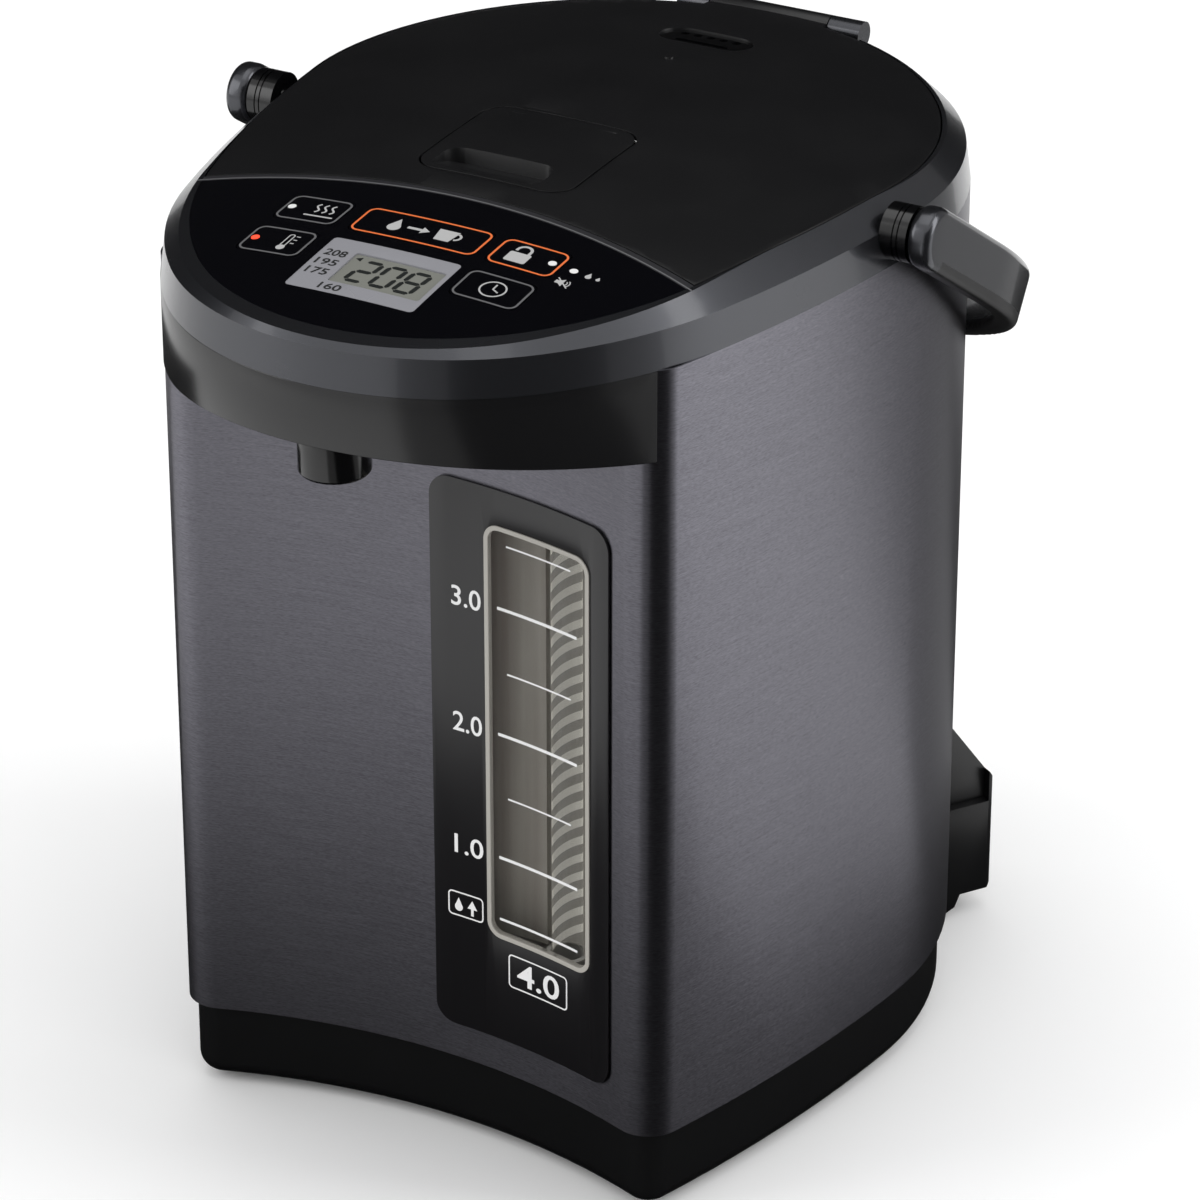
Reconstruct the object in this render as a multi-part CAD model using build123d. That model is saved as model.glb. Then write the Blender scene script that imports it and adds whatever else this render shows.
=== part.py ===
from build123d import *
import math
import os

# Electric thermo pot, four litre class. Millimetres, +Z up, front towards -Y.
# The origin is on the bench, under the axis of the water container.

# ---------------------------------------------------------------- plan of the body
back_radius = 104.0        # half-round back of the body, about the container axis
side_radius = 509.0        # gently bowed sides that close in towards the front
corner_radius = 10.6       # tight vertical corners either side of the front
corner_x = 72.8
corner_y = -108.5
front_hollow = 12.7        # depth of the concave front that a cup stands in
shell_wall = 0.6           # brushed steel sheet

# ---------------------------------------------------------------- plan of the head
nose_reach = 170.4         # front of the nose, from the container axis
nose_radius = 133.1 - 0.3 * nose_reach     # a longer nose is also narrower
shoulder_radius = 120.0    # blends the nose into the sides

# ---------------------------------------------------------------- heights
foot_height = 2.0
base_height = 26.0
body_height = 242.0
ring_lower_height = 10.8   # near upright lower band of the ring
crown_rise = 25.1          # top of the lid above the body seam
crown_radius_x = 587.0
crown_radius_y = 860.0
crown_centre_y = -21.0

base_bottom = foot_height
seam_low = base_bottom + base_height
seam_high = seam_low + body_height
ring_line = seam_high + ring_lower_height
crown_top = seam_high + crown_rise
sky = crown_top + 12.0     # above everything, where cuts end

# ---------------------------------------------------------------- clearances
fit_gap = 0.3              # between pieces that don't slide on each other
touch_gap = 0.1            # between pieces that are fixed side by side
running_gap = 0.05         # radial, in bores that turn


def meeting_point(first, first_reach, second, second_reach, turn):
    """Point at the two reaches from two centres, left (+1) or right (-1) of their line."""
    span = math.dist(first, second)
    along = (first_reach ** 2 - second_reach ** 2 + span ** 2) / (2 * span)
    across = math.sqrt(first_reach ** 2 - along ** 2)
    ux = (second[0] - first[0]) / span
    uy = (second[1] - first[1]) / span
    return (first[0] + along * ux - turn * across * uy, first[1] + along * uy + turn * across * ux)


axis_point = (0.0, 0.0)
corner_point = (corner_x, corner_y)
side_point = meeting_point(
    axis_point, side_radius - back_radius, corner_point, side_radius - corner_radius, -1)
front_y = corner_y - corner_radius + front_hollow
corner_back = corner_y - front_y
front_radius = ((corner_x ** 2 + corner_back ** 2 - corner_radius ** 2)
                / (2 * (corner_radius - corner_back)))
front_point = (0.0, front_y - front_radius)
nose_point = (0.0, nose_radius - nose_reach)
shoulder_point = meeting_point(
    nose_point, shoulder_radius - nose_radius, side_point, side_radius - shoulder_radius, -1)

# Each outline is a chain of tangent arcs: centre, radius, and +1 bulging or -1 hollow.
body_arcs = [(axis_point, back_radius, 1), (side_point, side_radius, 1),
             (corner_point, corner_radius, 1), (front_point, front_radius, -1)]
head_arcs = [(axis_point, back_radius, 1), (side_point, side_radius, 1),
             (shoulder_point, shoulder_radius, 1), (nose_point, nose_radius, 1)]


def tangent_point(arc, following):
    """Point where two neighbouring arcs of a chain touch."""
    (a, ra, bulge_a), (b, rb, bulge_b) = arc, following
    span = math.dist(a, b)
    if bulge_a != bulge_b or ra > rb:
        return (a[0] + ra * (b[0] - a[0]) / span, a[1] + ra * (b[1] - a[1]) / span)
    return (b[0] + rb * (a[0] - b[0]) / span, b[1] + rb * (a[1] - b[1]) / span)


def plan(arcs, inset, z=0.0):
    """Flat face of a mirrored chain of arcs, moved inwards by inset, at height z."""
    inner = [(centre, radius - bulge * inset, bulge) for centre, radius, bulge in arcs]
    joins = [tangent_point(arc, following) for arc, following in zip(inner, inner[1:])]
    edges = []
    for (centre, radius, _), start, end in zip(inner[1:-1], joins, joins[1:]):
        middle = ((start[0] + end[0]) / 2 - centre[0], (start[1] + end[1]) / 2 - centre[1])
        reach = radius / math.hypot(*middle)
        bow = (centre[0] + reach * middle[0], centre[1] + reach * middle[1])
        for side in (1, -1):
            edges.append(ThreePointArc((side * start[0], start[1]), (side * bow[0], bow[1]),
                                       (side * end[0], end[1])))
    (back, back_r, _), (front, front_r, front_bulge) = inner[0], inner[-1]
    first, last = joins[0], joins[-1]
    edges.append(ThreePointArc((-first[0], first[1]), (0, back[1] + back_r), first))
    edges.append(ThreePointArc(last, (0, front[1] - front_bulge * front_r), (-last[0], last[1])))
    return Pos(0, 0, z) * Face(Wire(edges))


def column(face, bottom, top):
    """Upright prism of a face drawn at height zero."""
    return Pos(0, 0, bottom) * extrude(face, amount=top - bottom, dir=(0, 0, 1))


def block(x0, x1, y0, y1, z0, z1):
    """Box between two corners."""
    return Pos((x0 + x1) / 2, (y0 + y1) / 2, (z0 + z1) / 2) * Box(x1 - x0, y1 - y0, z1 - z0)


def drum(x, y, bottom, top, radius):
    """Upright cylinder."""
    return Pos(x, y, (bottom + top) / 2) * Cylinder(radius, top - bottom)


def cross_drum(x0, x1, y, z, radius):
    """Cylinder along X."""
    return Pos((x0 + x1) / 2, y, z) * Rot(0, 90, 0) * Cylinder(radius, abs(x1 - x0))


def rounded_block(width, depth, corner, x, y, bottom, top):
    """Upright rounded rectangle."""
    return column(Pos(x, y) * RectangleRounded(width, depth, corner), bottom, top)


def turned(points):
    """Solid of revolution about Z from (radius, z) points."""
    profile = Plane.XZ * make_face(Polyline(*points, close=True))
    return revolve(profile, axis=Axis.Z)


def crown_block(drop):
    """Everything under the doubly curved crown, lowered by drop."""
    half_width = back_radius + 30.0
    depth = 60.0
    top = crown_top - drop
    edge_drop = crown_radius_x - math.sqrt(crown_radius_x ** 2 - half_width ** 2)
    arch = ThreePointArc((-half_width, top - edge_drop), (0, top), (half_width, top - edge_drop))
    sides = Polyline((half_width, top - edge_drop), (half_width, top - depth),
                     (-half_width, top - depth), (-half_width, top - edge_drop))
    section = Plane.XZ * make_face(arch + sides)
    section = Pos(0, crown_centre_y, 0) * section
    pivot = Axis((0, crown_centre_y, top - crown_radius_y), (1, 0, 0))
    half_turn = math.degrees(math.asin((nose_reach + 12.0) / crown_radius_y))
    return revolve(section.rotate(pivot, -half_turn), axis=pivot, revolution_arc=2 * half_turn)


def crown_height(x, y):
    """Height of the crown above the bench at a place in plan."""
    across = crown_radius_x - math.sqrt(crown_radius_x ** 2 - x ** 2)
    reach = crown_radius_y - across
    return crown_top - crown_radius_y + math.sqrt(reach ** 2 - (y - crown_centre_y) ** 2)


def tube_path(points, radii, outer, inner):
    """Pipe along straight runs joined by arcs."""
    path = FilletPolyline(*points, radius=radii)
    start = Plane(path @ 0, z_dir=path % 0)
    ring = start * (Circle(outer) - Circle(inner))
    return sweep(ring, path=path)


parts = {}

# ================================================================ body
hem_width = 5.0
shell = column(plan(body_arcs, 0.0) - plan(body_arcs, shell_wall), seam_low, seam_high)
shell += column(plan(body_arcs, shell_wall / 2) - plan(body_arcs, hem_width), seam_low,
                seam_low + shell_wall)

# ---------------------------------------------------------------- water gauge
gauge_left = 1.0
gauge_right = 64.5
gauge_bottom = seam_low + 11.8
gauge_top = seam_high - 52.0
gauge_corner = 6.5
gauge_stand = 0.9          # how far the panel stands off the shell
window_left = 19.4
window_right = 57.2
window_bottom = gauge_bottom + 34.3
window_top = gauge_top - 10.9
window_corner = 5.0
window_rim = 1.4
window_rim_stand = 0.4
tube_x = 39.5
tube_y = -97.0
tube_radius = 5.0
tube_wall = 1.0


def front_prism(left, right, bottom, top, corner):
    """Rounded rectangle seen from the front, run through the whole front wall."""
    sketch = Pos((left + right) / 2, (bottom + top) / 2) * RectangleRounded(
        right - left, top - bottom, corner)
    face = Plane.XZ.offset(-front_y - 30.0) * sketch
    return extrude(face, amount=60.0, dir=(0, -1, 0))


def front_skin(outward, inward):
    """Upright layer that follows the front of the body."""
    layer = plan(body_arcs, -outward) - plan(body_arcs, -inward)
    return column(layer, seam_low, seam_high)


gauge_frame = front_prism(gauge_left, gauge_right, gauge_bottom, gauge_top, gauge_corner)
window_hole = front_prism(window_left, window_right, window_bottom, window_top, window_corner)
rim_hole = front_prism(window_left + window_rim, window_right - window_rim,
                       window_bottom + window_rim, window_top - window_rim,
                       window_corner - window_rim)
shell -= window_hole
parts["gauge_panel"] = (front_skin(gauge_stand, touch_gap / 2) & gauge_frame) - window_hole
rim_band = front_skin(gauge_stand + window_rim_stand, -shell_wall) & window_hole
parts["gauge_rim"] = rim_band - rim_hole
window_skin = front_skin(gauge_stand, -shell_wall)
parts["gauge_window"] = window_skin & front_prism(
    window_left + window_rim, window_right - window_rim,
    window_bottom + window_rim, window_top - window_rim, window_corner - window_rim)

# ---------------------------------------------------------------- water container
container_radius = 88.0
container_wall = 0.8
container_floor = seam_low + 32.4
container_bend = 12.0
neck_radius = 66.0
flange_radius = 76.0
deck_bottom = seam_high - 10.0
deck_thickness = 3.0
deck_top = deck_bottom + deck_thickness
deck_hole_radius = neck_radius + 5.0
flange_thickness = 1.0
shoulder_z = deck_bottom - 26.0


def container_profile(grow, floor, top):
    """Right half of the container's outline, grown by a wall, in the XZ plane."""
    radius = container_radius + grow
    neck = neck_radius + grow
    corner = container_bend + grow
    sweep_in = radius - neck
    rise = sweep_in * 0.9
    lines = Line((0, floor), (radius - corner, floor))
    lines += RadiusArc((radius - corner, floor), (radius, floor + corner), -corner)
    lines += Line((radius, floor + corner), (radius, shoulder_z))
    lines += Spline((radius, shoulder_z), (neck, shoulder_z + rise),
                    tangents=((0, 1), (0, 1)))
    lines += Polyline((neck, shoulder_z + rise), (neck, top), (0, top), (0, floor))
    return Plane.XZ * make_face(lines)


flange_top = deck_top + flange_thickness
outer_form = revolve(container_profile(container_wall, container_floor - container_wall,
                                       flange_top), axis=Axis.Z)
flange = drum(0, 0, deck_top, flange_top, flange_radius)
inner_form = revolve(container_profile(0.0, container_floor, flange_top + 1.0), axis=Axis.Z)
container = outer_form + flange - inner_form

# ---------------------------------------------------------------- pump and pipes
pump_x = 24.0
pump_y = -62.0
inlet_radius = 6.0
pipe_radius = 5.0
pipe_wall = 1.2
riser_y = -98.0
spout_z = seam_high - 10.0
nozzle_y = 15.9 - nose_reach
pump_floor = base_bottom + 24.0
pump_cavity_floor = pump_floor + 2.0
pump_cavity_top = pump_cavity_floor + 8.0
pump_top = pump_cavity_top + 2.0
pump_radius = 20.0
pump_wall = 3.0
pump_cavity_radius = pump_radius - pump_wall
outlet_z = (pump_cavity_floor + pump_cavity_top) / 2
outlet_bore = 3.0
container -= drum(pump_x, pump_y, container_floor - 5.0, container_floor + 1.0,
                  inlet_radius - pipe_wall)
parts["inner_container"] = container

wrap_inner = container_radius + container_wall + touch_gap
wrap_outer = wrap_inner + 3.0
wrap_bottom = container_floor + container_bend
parts["insulation_wrap"] = (drum(0, 0, wrap_bottom, shoulder_z, wrap_outer)
                            - drum(0, 0, wrap_bottom - 1.0, shoulder_z + 1.0, wrap_inner))

seal_inner = neck_radius + container_wall
parts["container_seal"] = (drum(0, 0, deck_bottom, deck_top, deck_hole_radius)
                           - drum(0, 0, deck_bottom - 1.0, deck_top + 1.0, seal_inner))

# ---------------------------------------------------------------- base
base_inset = 2.6
base_wall = 2.6
base_edge = 6.0
lip_inset = 9.2
lip_thickness = 2.5
cover_thickness = 2.0
tub = column(plan(body_arcs, base_inset), base_bottom, seam_low)
tub = fillet(tub.faces().sort_by(Axis.Z)[0].edges(), base_edge)
tub -= column(plan(body_arcs, base_inset + base_wall), base_bottom + lip_thickness, seam_low + 1.0)
tub -= column(plan(body_arcs, lip_inset), base_bottom - 1.0, base_bottom + lip_thickness + 1.0)

cover_bottom = base_bottom + lip_thickness
cover_top = cover_bottom + cover_thickness
cover = column(plan(body_arcs, base_inset + base_wall + fit_gap), cover_bottom, cover_top)
vent_length = 44.0
vent_width = 3.0
vent_count = 7
vent_pitch = 7.0
for index in range(vent_count):
    vent_y = (index - (vent_count - 1) / 2) * vent_pitch
    cover -= rounded_block(vent_length, vent_width, vent_width / 2 - 0.01, 0, vent_y,
                           cover_bottom - 1.0, cover_top + 1.0)

# Bosses on the bottom cover take the screws of the base and carry the works.
screw_places = [(side * x, y) for side in (1, -1)
                for x, y in ((corner_x - 10.8, corner_y + 16.5),
                             (0.6 * back_radius, 0.6 * back_radius))]
screw_head_radius = 3.6
screw_head_height = 2.0
screw_radius = 1.6
screw_length = 12.0
boss_radius = 5.0
screws = None
for x, y in screw_places:
    boss = drum(x, y, cover_top, cover_top + 9.0, boss_radius)
    hole = drum(x, y, cover_bottom - 1.0, cover_top + 10.0, screw_radius)
    cover = cover + boss - hole
    head = drum(x, y, cover_bottom - screw_head_height, cover_bottom, screw_head_radius)
    slot = (block(x - 3.0, x + 3.0, y - 0.5, y + 0.5, cover_bottom - screw_head_height - 1.0,
                  cover_bottom - screw_head_height + 0.9))
    shank = drum(x, y, cover_bottom, cover_bottom + screw_length - 2.0, screw_radius)
    one = head - slot + shank
    screws = one if screws is None else screws + one
parts["bottom_screws"] = screws

foot_places = [(side * x, y) for side in (1, -1)
               for x, y in ((corner_x - 6.8, corner_y + 38.5),
                            (0.48 * back_radius, 0.44 * back_radius))]
foot_radius = 9.0
feet = None
for x, y in foot_places:
    pad = drum(x, y, 0, cover_bottom, foot_radius)
    pad = chamfer(pad.faces().sort_by(Axis.Z)[0].edges(), 1.0)
    feet = pad if feet is None else feet + pad
parts["rubber_feet"] = feet

# ---------------------------------------------------------------- heater and its stand
shield_radius = 84.0
shield_bottom = pump_top + 4.0
shield_thickness = 1.0
shield_top = shield_bottom + shield_thickness
stand_inner = 54.0
stand_outer = 59.0
post_radius = 4.0
post_count = 3
container_under = container_floor - container_wall
stand = drum(0, 0, shield_bottom, shield_top, shield_radius)
stand += (drum(0, 0, shield_top, container_under, stand_outer)
          - drum(0, 0, shield_top, container_under, stand_inner))
post_ring = (stand_inner + stand_outer) / 2
for index in range(post_count):
    angle = math.radians(90.0 + index * 360.0 / post_count)
    stand += drum(post_ring * math.cos(angle), post_ring * math.sin(angle), cover_top,
                  shield_bottom, post_radius)
inlet_clear = inlet_radius + fit_gap
stand -= drum(pump_x, pump_y, shield_bottom - 1.0, container_under + 1.0, inlet_clear)
sensor_radius = 9.0
stand -= drum(0, 0, shield_bottom - 1.0, shield_top + 1.0, sensor_radius + 2.0)
parts["container_stand"] = stand

heater_radius = 50.0
heater_thickness = 5.0
heater_bottom = container_under - heater_thickness
heater = drum(0, 0, heater_bottom, container_under, heater_radius)
heater -= drum(0, 0, heater_bottom - 1.0, heater_bottom + 2.0, heater_radius - 6.0) - drum(
    0, 0, heater_bottom - 1.0, heater_bottom + 2.0, heater_radius - 20.0)
parts["heater_plate"] = heater
sensor_height = 8.0
sensor = drum(0, 0, heater_bottom - sensor_height, heater_bottom, sensor_radius)
for side in (1, -1):
    sensor += block(side * 4.0 - 1.5, side * 4.0 + 1.5, -3.0, 3.0,
                    heater_bottom - sensor_height - 4.0, heater_bottom - sensor_height)
parts["thermostat"] = sensor

# ---------------------------------------------------------------- pump
spindle_radius = 1.5
housing = drum(pump_x, pump_y, pump_floor, pump_top, pump_radius)
housing -= drum(pump_x, pump_y, pump_cavity_floor, pump_cavity_top, pump_cavity_radius)
housing -= drum(pump_x, pump_y, pump_cavity_top - 1.0, pump_top + 1.0, inlet_radius - pipe_wall)
housing += drum(pump_x, pump_y, pump_cavity_floor, pump_cavity_floor + 6.0, spindle_radius)
outlet_run = math.hypot(pump_x, riser_y - pump_y)
outlet_dir = (-pump_x / outlet_run, (riser_y - pump_y) / outlet_run)
outlet_plane = Plane(origin=(pump_x, pump_y, outlet_z), z_dir=(outlet_dir[0], outlet_dir[1], 0))
housing -= extrude(outlet_plane * Circle(outlet_bore), amount=pump_radius + 1.0)
ear_reach = pump_radius + 6.0
for angle in (20.0, 140.0):
    ear_x = pump_x + ear_reach * math.cos(math.radians(angle))
    ear_y = pump_y + ear_reach * math.sin(math.radians(angle))
    ear = drum(ear_x, ear_y, cover_top, pump_floor + 3.0, post_radius)
    bridge = Pos((pump_x + ear_x) / 2, (pump_y + ear_y) / 2, pump_floor + 1.5) * Rot(
        0, 0, angle) * Box(ear_reach, 6.0, 3.0)
    bridge -= drum(pump_x, pump_y, pump_floor - 1.0, pump_floor + 4.0, pump_radius - 0.5)
    housing += ear + bridge
parts["pump_housing"] = housing

impeller_gap = 0.8
hub_radius = 4.0
blade_count = 6
impeller_bottom = pump_cavity_floor + impeller_gap
impeller_radius = pump_cavity_radius - impeller_gap
impeller = drum(pump_x, pump_y, impeller_bottom, impeller_bottom + 1.4, impeller_radius)
impeller += drum(pump_x, pump_y, impeller_bottom, impeller_bottom + 5.0, hub_radius)
for index in range(blade_count):
    spoke = Pos(pump_x, pump_y, 0) * Rot(0, 0, index * 360.0 / blade_count) * block(
        hub_radius - 1.0, impeller_radius - 1.0, -0.6, 0.6, impeller_bottom + 1.0,
        impeller_bottom + 4.6)
    impeller += spoke
impeller -= drum(pump_x, pump_y, impeller_bottom - 1.0, impeller_bottom + 6.0,
                 spindle_radius + running_gap)
parts["pump_impeller"] = impeller

motor_radius = 14.0
motor_wall = 1.5
motor_bottom = cover_top
shaft_radius = 1.5
can = drum(pump_x, pump_y, motor_bottom, pump_floor, motor_radius)
can -= drum(pump_x, pump_y, motor_bottom + motor_wall, pump_floor - motor_wall,
            motor_radius - motor_wall)
can -= drum(pump_x, pump_y, motor_bottom + motor_wall / 2, motor_bottom + motor_wall + 1.0,
            shaft_radius + running_gap)
parts["pump_motor"] = can
rotor_gap = 0.8
rotor = drum(pump_x, pump_y, motor_bottom + motor_wall + rotor_gap,
             pump_floor - motor_wall - rotor_gap, motor_radius - motor_wall - rotor_gap)
slot_count = 5
slot_reach = motor_radius - motor_wall
for index in range(slot_count):
    groove = Pos(pump_x, pump_y, 0) * Rot(0, 0, index * 360.0 / slot_count) * block(
        slot_reach - 4.0, slot_reach + 1.0, -0.8, 0.8, motor_bottom, pump_floor)
    rotor -= groove
rotor += drum(pump_x, pump_y, motor_bottom + motor_wall / 2 + fit_gap,
              motor_bottom + motor_wall + rotor_gap + 1.0, shaft_radius)
parts["motor_rotor"] = rotor

inlet = (drum(pump_x, pump_y, pump_top, container_under, inlet_radius)
         - drum(pump_x, pump_y, pump_top - 1.0, container_under + 1.0, inlet_radius - pipe_wall))
parts["pump_inlet_pipe"] = inlet

# ---------------------------------------------------------------- riser, spout and gauge pipes
pipe_bend = 9.0
pipe_joint_z = spout_z - 30.0
pipe_bore = pipe_radius - pipe_wall
riser_start = (pump_x + outlet_dir[0] * pump_radius, pump_y + outlet_dir[1] * pump_radius, outlet_z)
riser = tube_path([riser_start, (0, riser_y, outlet_z), (0, riser_y, pipe_joint_z)],
                  pipe_bend, pipe_radius, pipe_bore)
riser -= drum(pump_x, pump_y, pump_floor, pump_top, pump_radius)
parts["riser_pipe"] = riser
nozzle_top = spout_z - 8.0
spout_bend = 7.0
parts["spout_pipe"] = tube_path(
    [(0, riser_y, pipe_joint_z), (0, riser_y, spout_z), (0, nozzle_y, spout_z),
     (0, nozzle_y, nozzle_top)], spout_bend, pipe_radius, pipe_bore)
shell -= Pos(0, front_y, spout_z) * Rot(90, 0, 0) * Cylinder(pipe_radius + fit_gap, 20.0)
parts["outer_shell"] = shell

gauge_tube_bottom = seam_low + 34.0
gauge_seal_height = 12.0
gauge_tube_top = deck_bottom - gauge_seal_height / 2
feed_z = gauge_tube_bottom - 4.0
feed_radius = 3.0
feed_bore = 2.0
feed_run = tube_x - pipe_radius
feed = (Pos(pipe_radius + feed_run / 2, (riser_y + tube_y) / 2, feed_z) * Rot(0, 90, 0)
        * (Cylinder(feed_radius, feed_run) - Cylinder(feed_bore, feed_run)))
parts["gauge_tube"] = (drum(tube_x, tube_y, gauge_tube_bottom, gauge_tube_top, tube_radius)
                       - drum(tube_x, tube_y, gauge_tube_bottom - 1.0, gauge_tube_top + 1.0,
                              tube_radius - tube_wall))
seal_radius = tube_radius + 1.6
low_seal_bottom = feed_z - feed_radius - 2.0
low_seal_top = gauge_tube_bottom + 6.0
high_seal_bottom = deck_bottom - gauge_seal_height
low_seal = (drum(tube_x, tube_y, low_seal_bottom, low_seal_top, seal_radius)
            - drum(tube_x, tube_y, gauge_tube_bottom, low_seal_top + 1.0, tube_radius)
            - drum(tube_x, tube_y, low_seal_bottom + 2.0, low_seal_top, tube_radius - tube_wall))
low_seal -= Pos(tube_x - seal_radius, (riser_y + tube_y) / 2, feed_z) * Rot(0, 90, 0) * Cylinder(
    feed_radius, 2 * seal_radius)
high_seal = (drum(tube_x, tube_y, high_seal_bottom, deck_bottom, seal_radius)
             - drum(tube_x, tube_y, high_seal_bottom - 1.0, gauge_tube_top, tube_radius)
             - drum(tube_x, tube_y, high_seal_bottom, deck_bottom - 1.0, tube_radius - tube_wall))
parts["gauge_tube_seals"] = low_seal + high_seal
feed -= drum(tube_x, tube_y, low_seal_bottom + 2.0, low_seal_top, tube_radius - tube_wall)
feed -= drum(0, riser_y, feed_z - 10.0, feed_z + 10.0, pipe_radius)
feed &= block(0, tube_x - tube_radius / 2, riser_y - 20.0, riser_y + 20.0, feed_z - 10.0,
              feed_z + 10.0)
parts["gauge_feed_pipe"] = feed
backing_thickness = 1.2
channel_half = 7.0
channel_floor = tube_y + tube_radius + fit_gap + backing_thickness / 2
wing_left = tube_x - 31.0
wing_right = tube_x + 18.5
channel_line = [(wing_left, tube_y), (tube_x - channel_half, tube_y),
                (tube_x - channel_half, channel_floor), (tube_x + channel_half, channel_floor),
                (tube_x + channel_half, tube_y), (wing_right, tube_y)]
backing_bottom = low_seal_top + 1.0
backing_top = high_seal_bottom - 1.0
backing = None
for (x0, y0), (x1, y1) in zip(channel_line, channel_line[1:]):
    grow = backing_thickness / 2
    strip = block(min(x0, x1) - grow, max(x0, x1) + grow, min(y0, y1) - grow, max(y0, y1) + grow,
                  backing_bottom, backing_top)
    backing = strip if backing is None else backing + strip
parts["gauge_backing"] = backing

# ---------------------------------------------------------------- power board
board_left = -78.0
board_right = -9.0
board_front = -14.0
board_back = 53.0
board_stand = 6.0
board_thickness = 1.6
board_z = cover_top + board_stand
board = block(board_left, board_right, board_front, board_back, board_z,
              board_z + board_thickness)
for x in (board_left + 6.0, board_right - 6.0):
    for y in (board_front + 6.0, board_back - 6.0):
        board += drum(x, y, cover_top, board_z, 2.5)
board_top = board_z + board_thickness
board += block(board_left + 4.0, board_left + 32.0, board_back - 34.0, board_back - 10.0,
               board_top, board_top + 20.0)
board += block(board_right - 22.0, board_right - 6.0, board_back - 32.0, board_back - 12.0,
               board_top, board_top + 15.0)
for x in (board_left + 12.0, board_left + 26.0):
    board += drum(x, board_front + 12.0, board_top, board_top + 18.0, 5.0)
board += block(board_right - 26.0, board_right - 8.0, board_front + 6.0, board_front + 16.0,
               board_top, board_top + 10.0)
parts["power_board"] = board
parts["bottom_cover"] = cover

# ---------------------------------------------------------------- plug receptacle
inlet_turn = -33.0         # about Z, from the middle of the back towards +X
inlet_depth = 21.5         # the plug face stands this far off the shell
inlet_reach = back_radius + inlet_depth
inlet_half = 22.0
inlet_bottom = base_bottom + 6.0
inlet_face_top = seam_low + 18.7
inlet_hood_top = seam_low + 47.0
inlet_ledge = seam_low + 11.5          # the hood is narrower above this height
inlet_cheek = 3.2
inlet_rim = 2.4
foot_reach = back_radius + 9.5
foot_round = 6.0
socket_half = 16.0
socket_low = inlet_bottom + 8.0
socket_high = inlet_face_top - 9.0
socket_depth = 9.0
inlet_root = back_radius - 6.0
inlet_side = [(inlet_root, base_bottom), (foot_reach - foot_round, base_bottom),
              (foot_reach - 0.3 * foot_round, base_bottom + 0.3 * foot_round),
              (foot_reach, inlet_bottom), (inlet_reach - 2.0, inlet_bottom),
              (inlet_reach, inlet_bottom + 2.0), (inlet_reach, inlet_face_top),
              (back_radius + 1.0, inlet_hood_top), (inlet_root, inlet_hood_top)]
inlet_face = Plane.YZ * make_face(Polyline(*inlet_side, close=True))
receptacle = extrude(inlet_face, amount=inlet_half, both=True)
receptacle = fillet(receptacle.edges().filter_by(Axis.Z).sort_by(Axis.Y)[-2:], 3.0)
for side in (1, -1):
    receptacle -= block(*sorted((side * (inlet_half - inlet_cheek), side * (inlet_half + 1.0))),
                        inlet_root - 1.0, inlet_reach - inlet_rim, inlet_ledge, seam_high)
receptacle -= drum(0, 0, seam_low, seam_high, back_radius)
receptacle -= drum(0, 0, 0, seam_low, back_radius - base_inset)
spigot_half = socket_half + 2.0
spigot_depth = 8.0
spigot = block(-spigot_half, spigot_half, back_radius - spigot_depth, inlet_reach - 3.0,
               seam_low + shell_wall + fit_gap, socket_high + 2.0)
receptacle += spigot
receptacle -= block(-socket_half, socket_half, inlet_reach - socket_depth, inlet_reach + 1.0,
                    socket_low, socket_high)
receptacle = Rot(0, 0, inlet_turn) * receptacle
shell_slot = Rot(0, 0, inlet_turn) * block(
    -spigot_half - touch_gap, spigot_half + touch_gap, back_radius - 12.0, back_radius + 10.0,
    seam_low + shell_wall + fit_gap - touch_gap, socket_high + 2.0 + touch_gap)
parts["outer_shell"] = shell - shell_slot
pin_radius = 2.0
pin_length = 6.0
pin_spread = 7.0
socket_z = (socket_low + socket_high) / 2
socket_floor = inlet_reach - socket_depth
pins = None
for side in (1, -1):
    pin = Pos(side * pin_spread, socket_floor + pin_length / 2 - 2.0, socket_z) * Rot(
        90, 0, 0) * Cylinder(pin_radius, pin_length + 4.0)
    pins = pin if pins is None else pins + pin
yoke = block(-3.0, 3.0, socket_floor - 2.0, socket_floor + 2.0, socket_z - 5.5, socket_z + 5.5)
inserts = Rot(0, 0, inlet_turn) * (pins + yoke)
parts["plug_receptacle"] = receptacle - inserts
parts["receptacle_pins"] = inserts
parts["base_housing"] = tub

# ================================================================ head
split_middle = -83.3       # front edge of the lid on the centre line
split_radius = 260.0
split_gap = 0.5            # between the lid and the fixed head
strip_width = 3.0
ring_lean = 1.5            # the lower band closes in by this much over its height
ring_rim_inset = 8.2
ring_wall = 3.4
rim_lip = 0.4
lid_inset = ring_rim_inset + rim_lip + split_gap


def ahead_of_split(shift):
    """Disc whose back edge is the split line, moved forward by shift."""
    return Pos(0, split_middle - split_radius) * Circle(split_radius - shift)


slope = (crown_top - ring_line) * 1.05
ring = loft([plan(head_arcs, 0.0, seam_high), plan(head_arcs, ring_lean, ring_line)])
ring_shoulder = slope * 1.05
ring += loft([plan(head_arcs, ring_lean, ring_line),
              plan(head_arcs, ring_lean + ring_shoulder, ring_line + slope)])
ring &= crown_block(0.0)
inner_line = ring_line - 2.5
ring_form = ring & column(plan(head_arcs, 0.0), seam_high, sky)
ring -= column(plan(head_arcs, ring_wall), seam_high - 1.0, inner_line)
rim_inset = ring_rim_inset + rim_lip
ring -= loft([plan(head_arcs, ring_wall, inner_line), plan(head_arcs, rim_inset, inner_line + 4.0)])
ring -= column(plan(head_arcs, rim_inset), inner_line + 4.0, sky)

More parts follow.
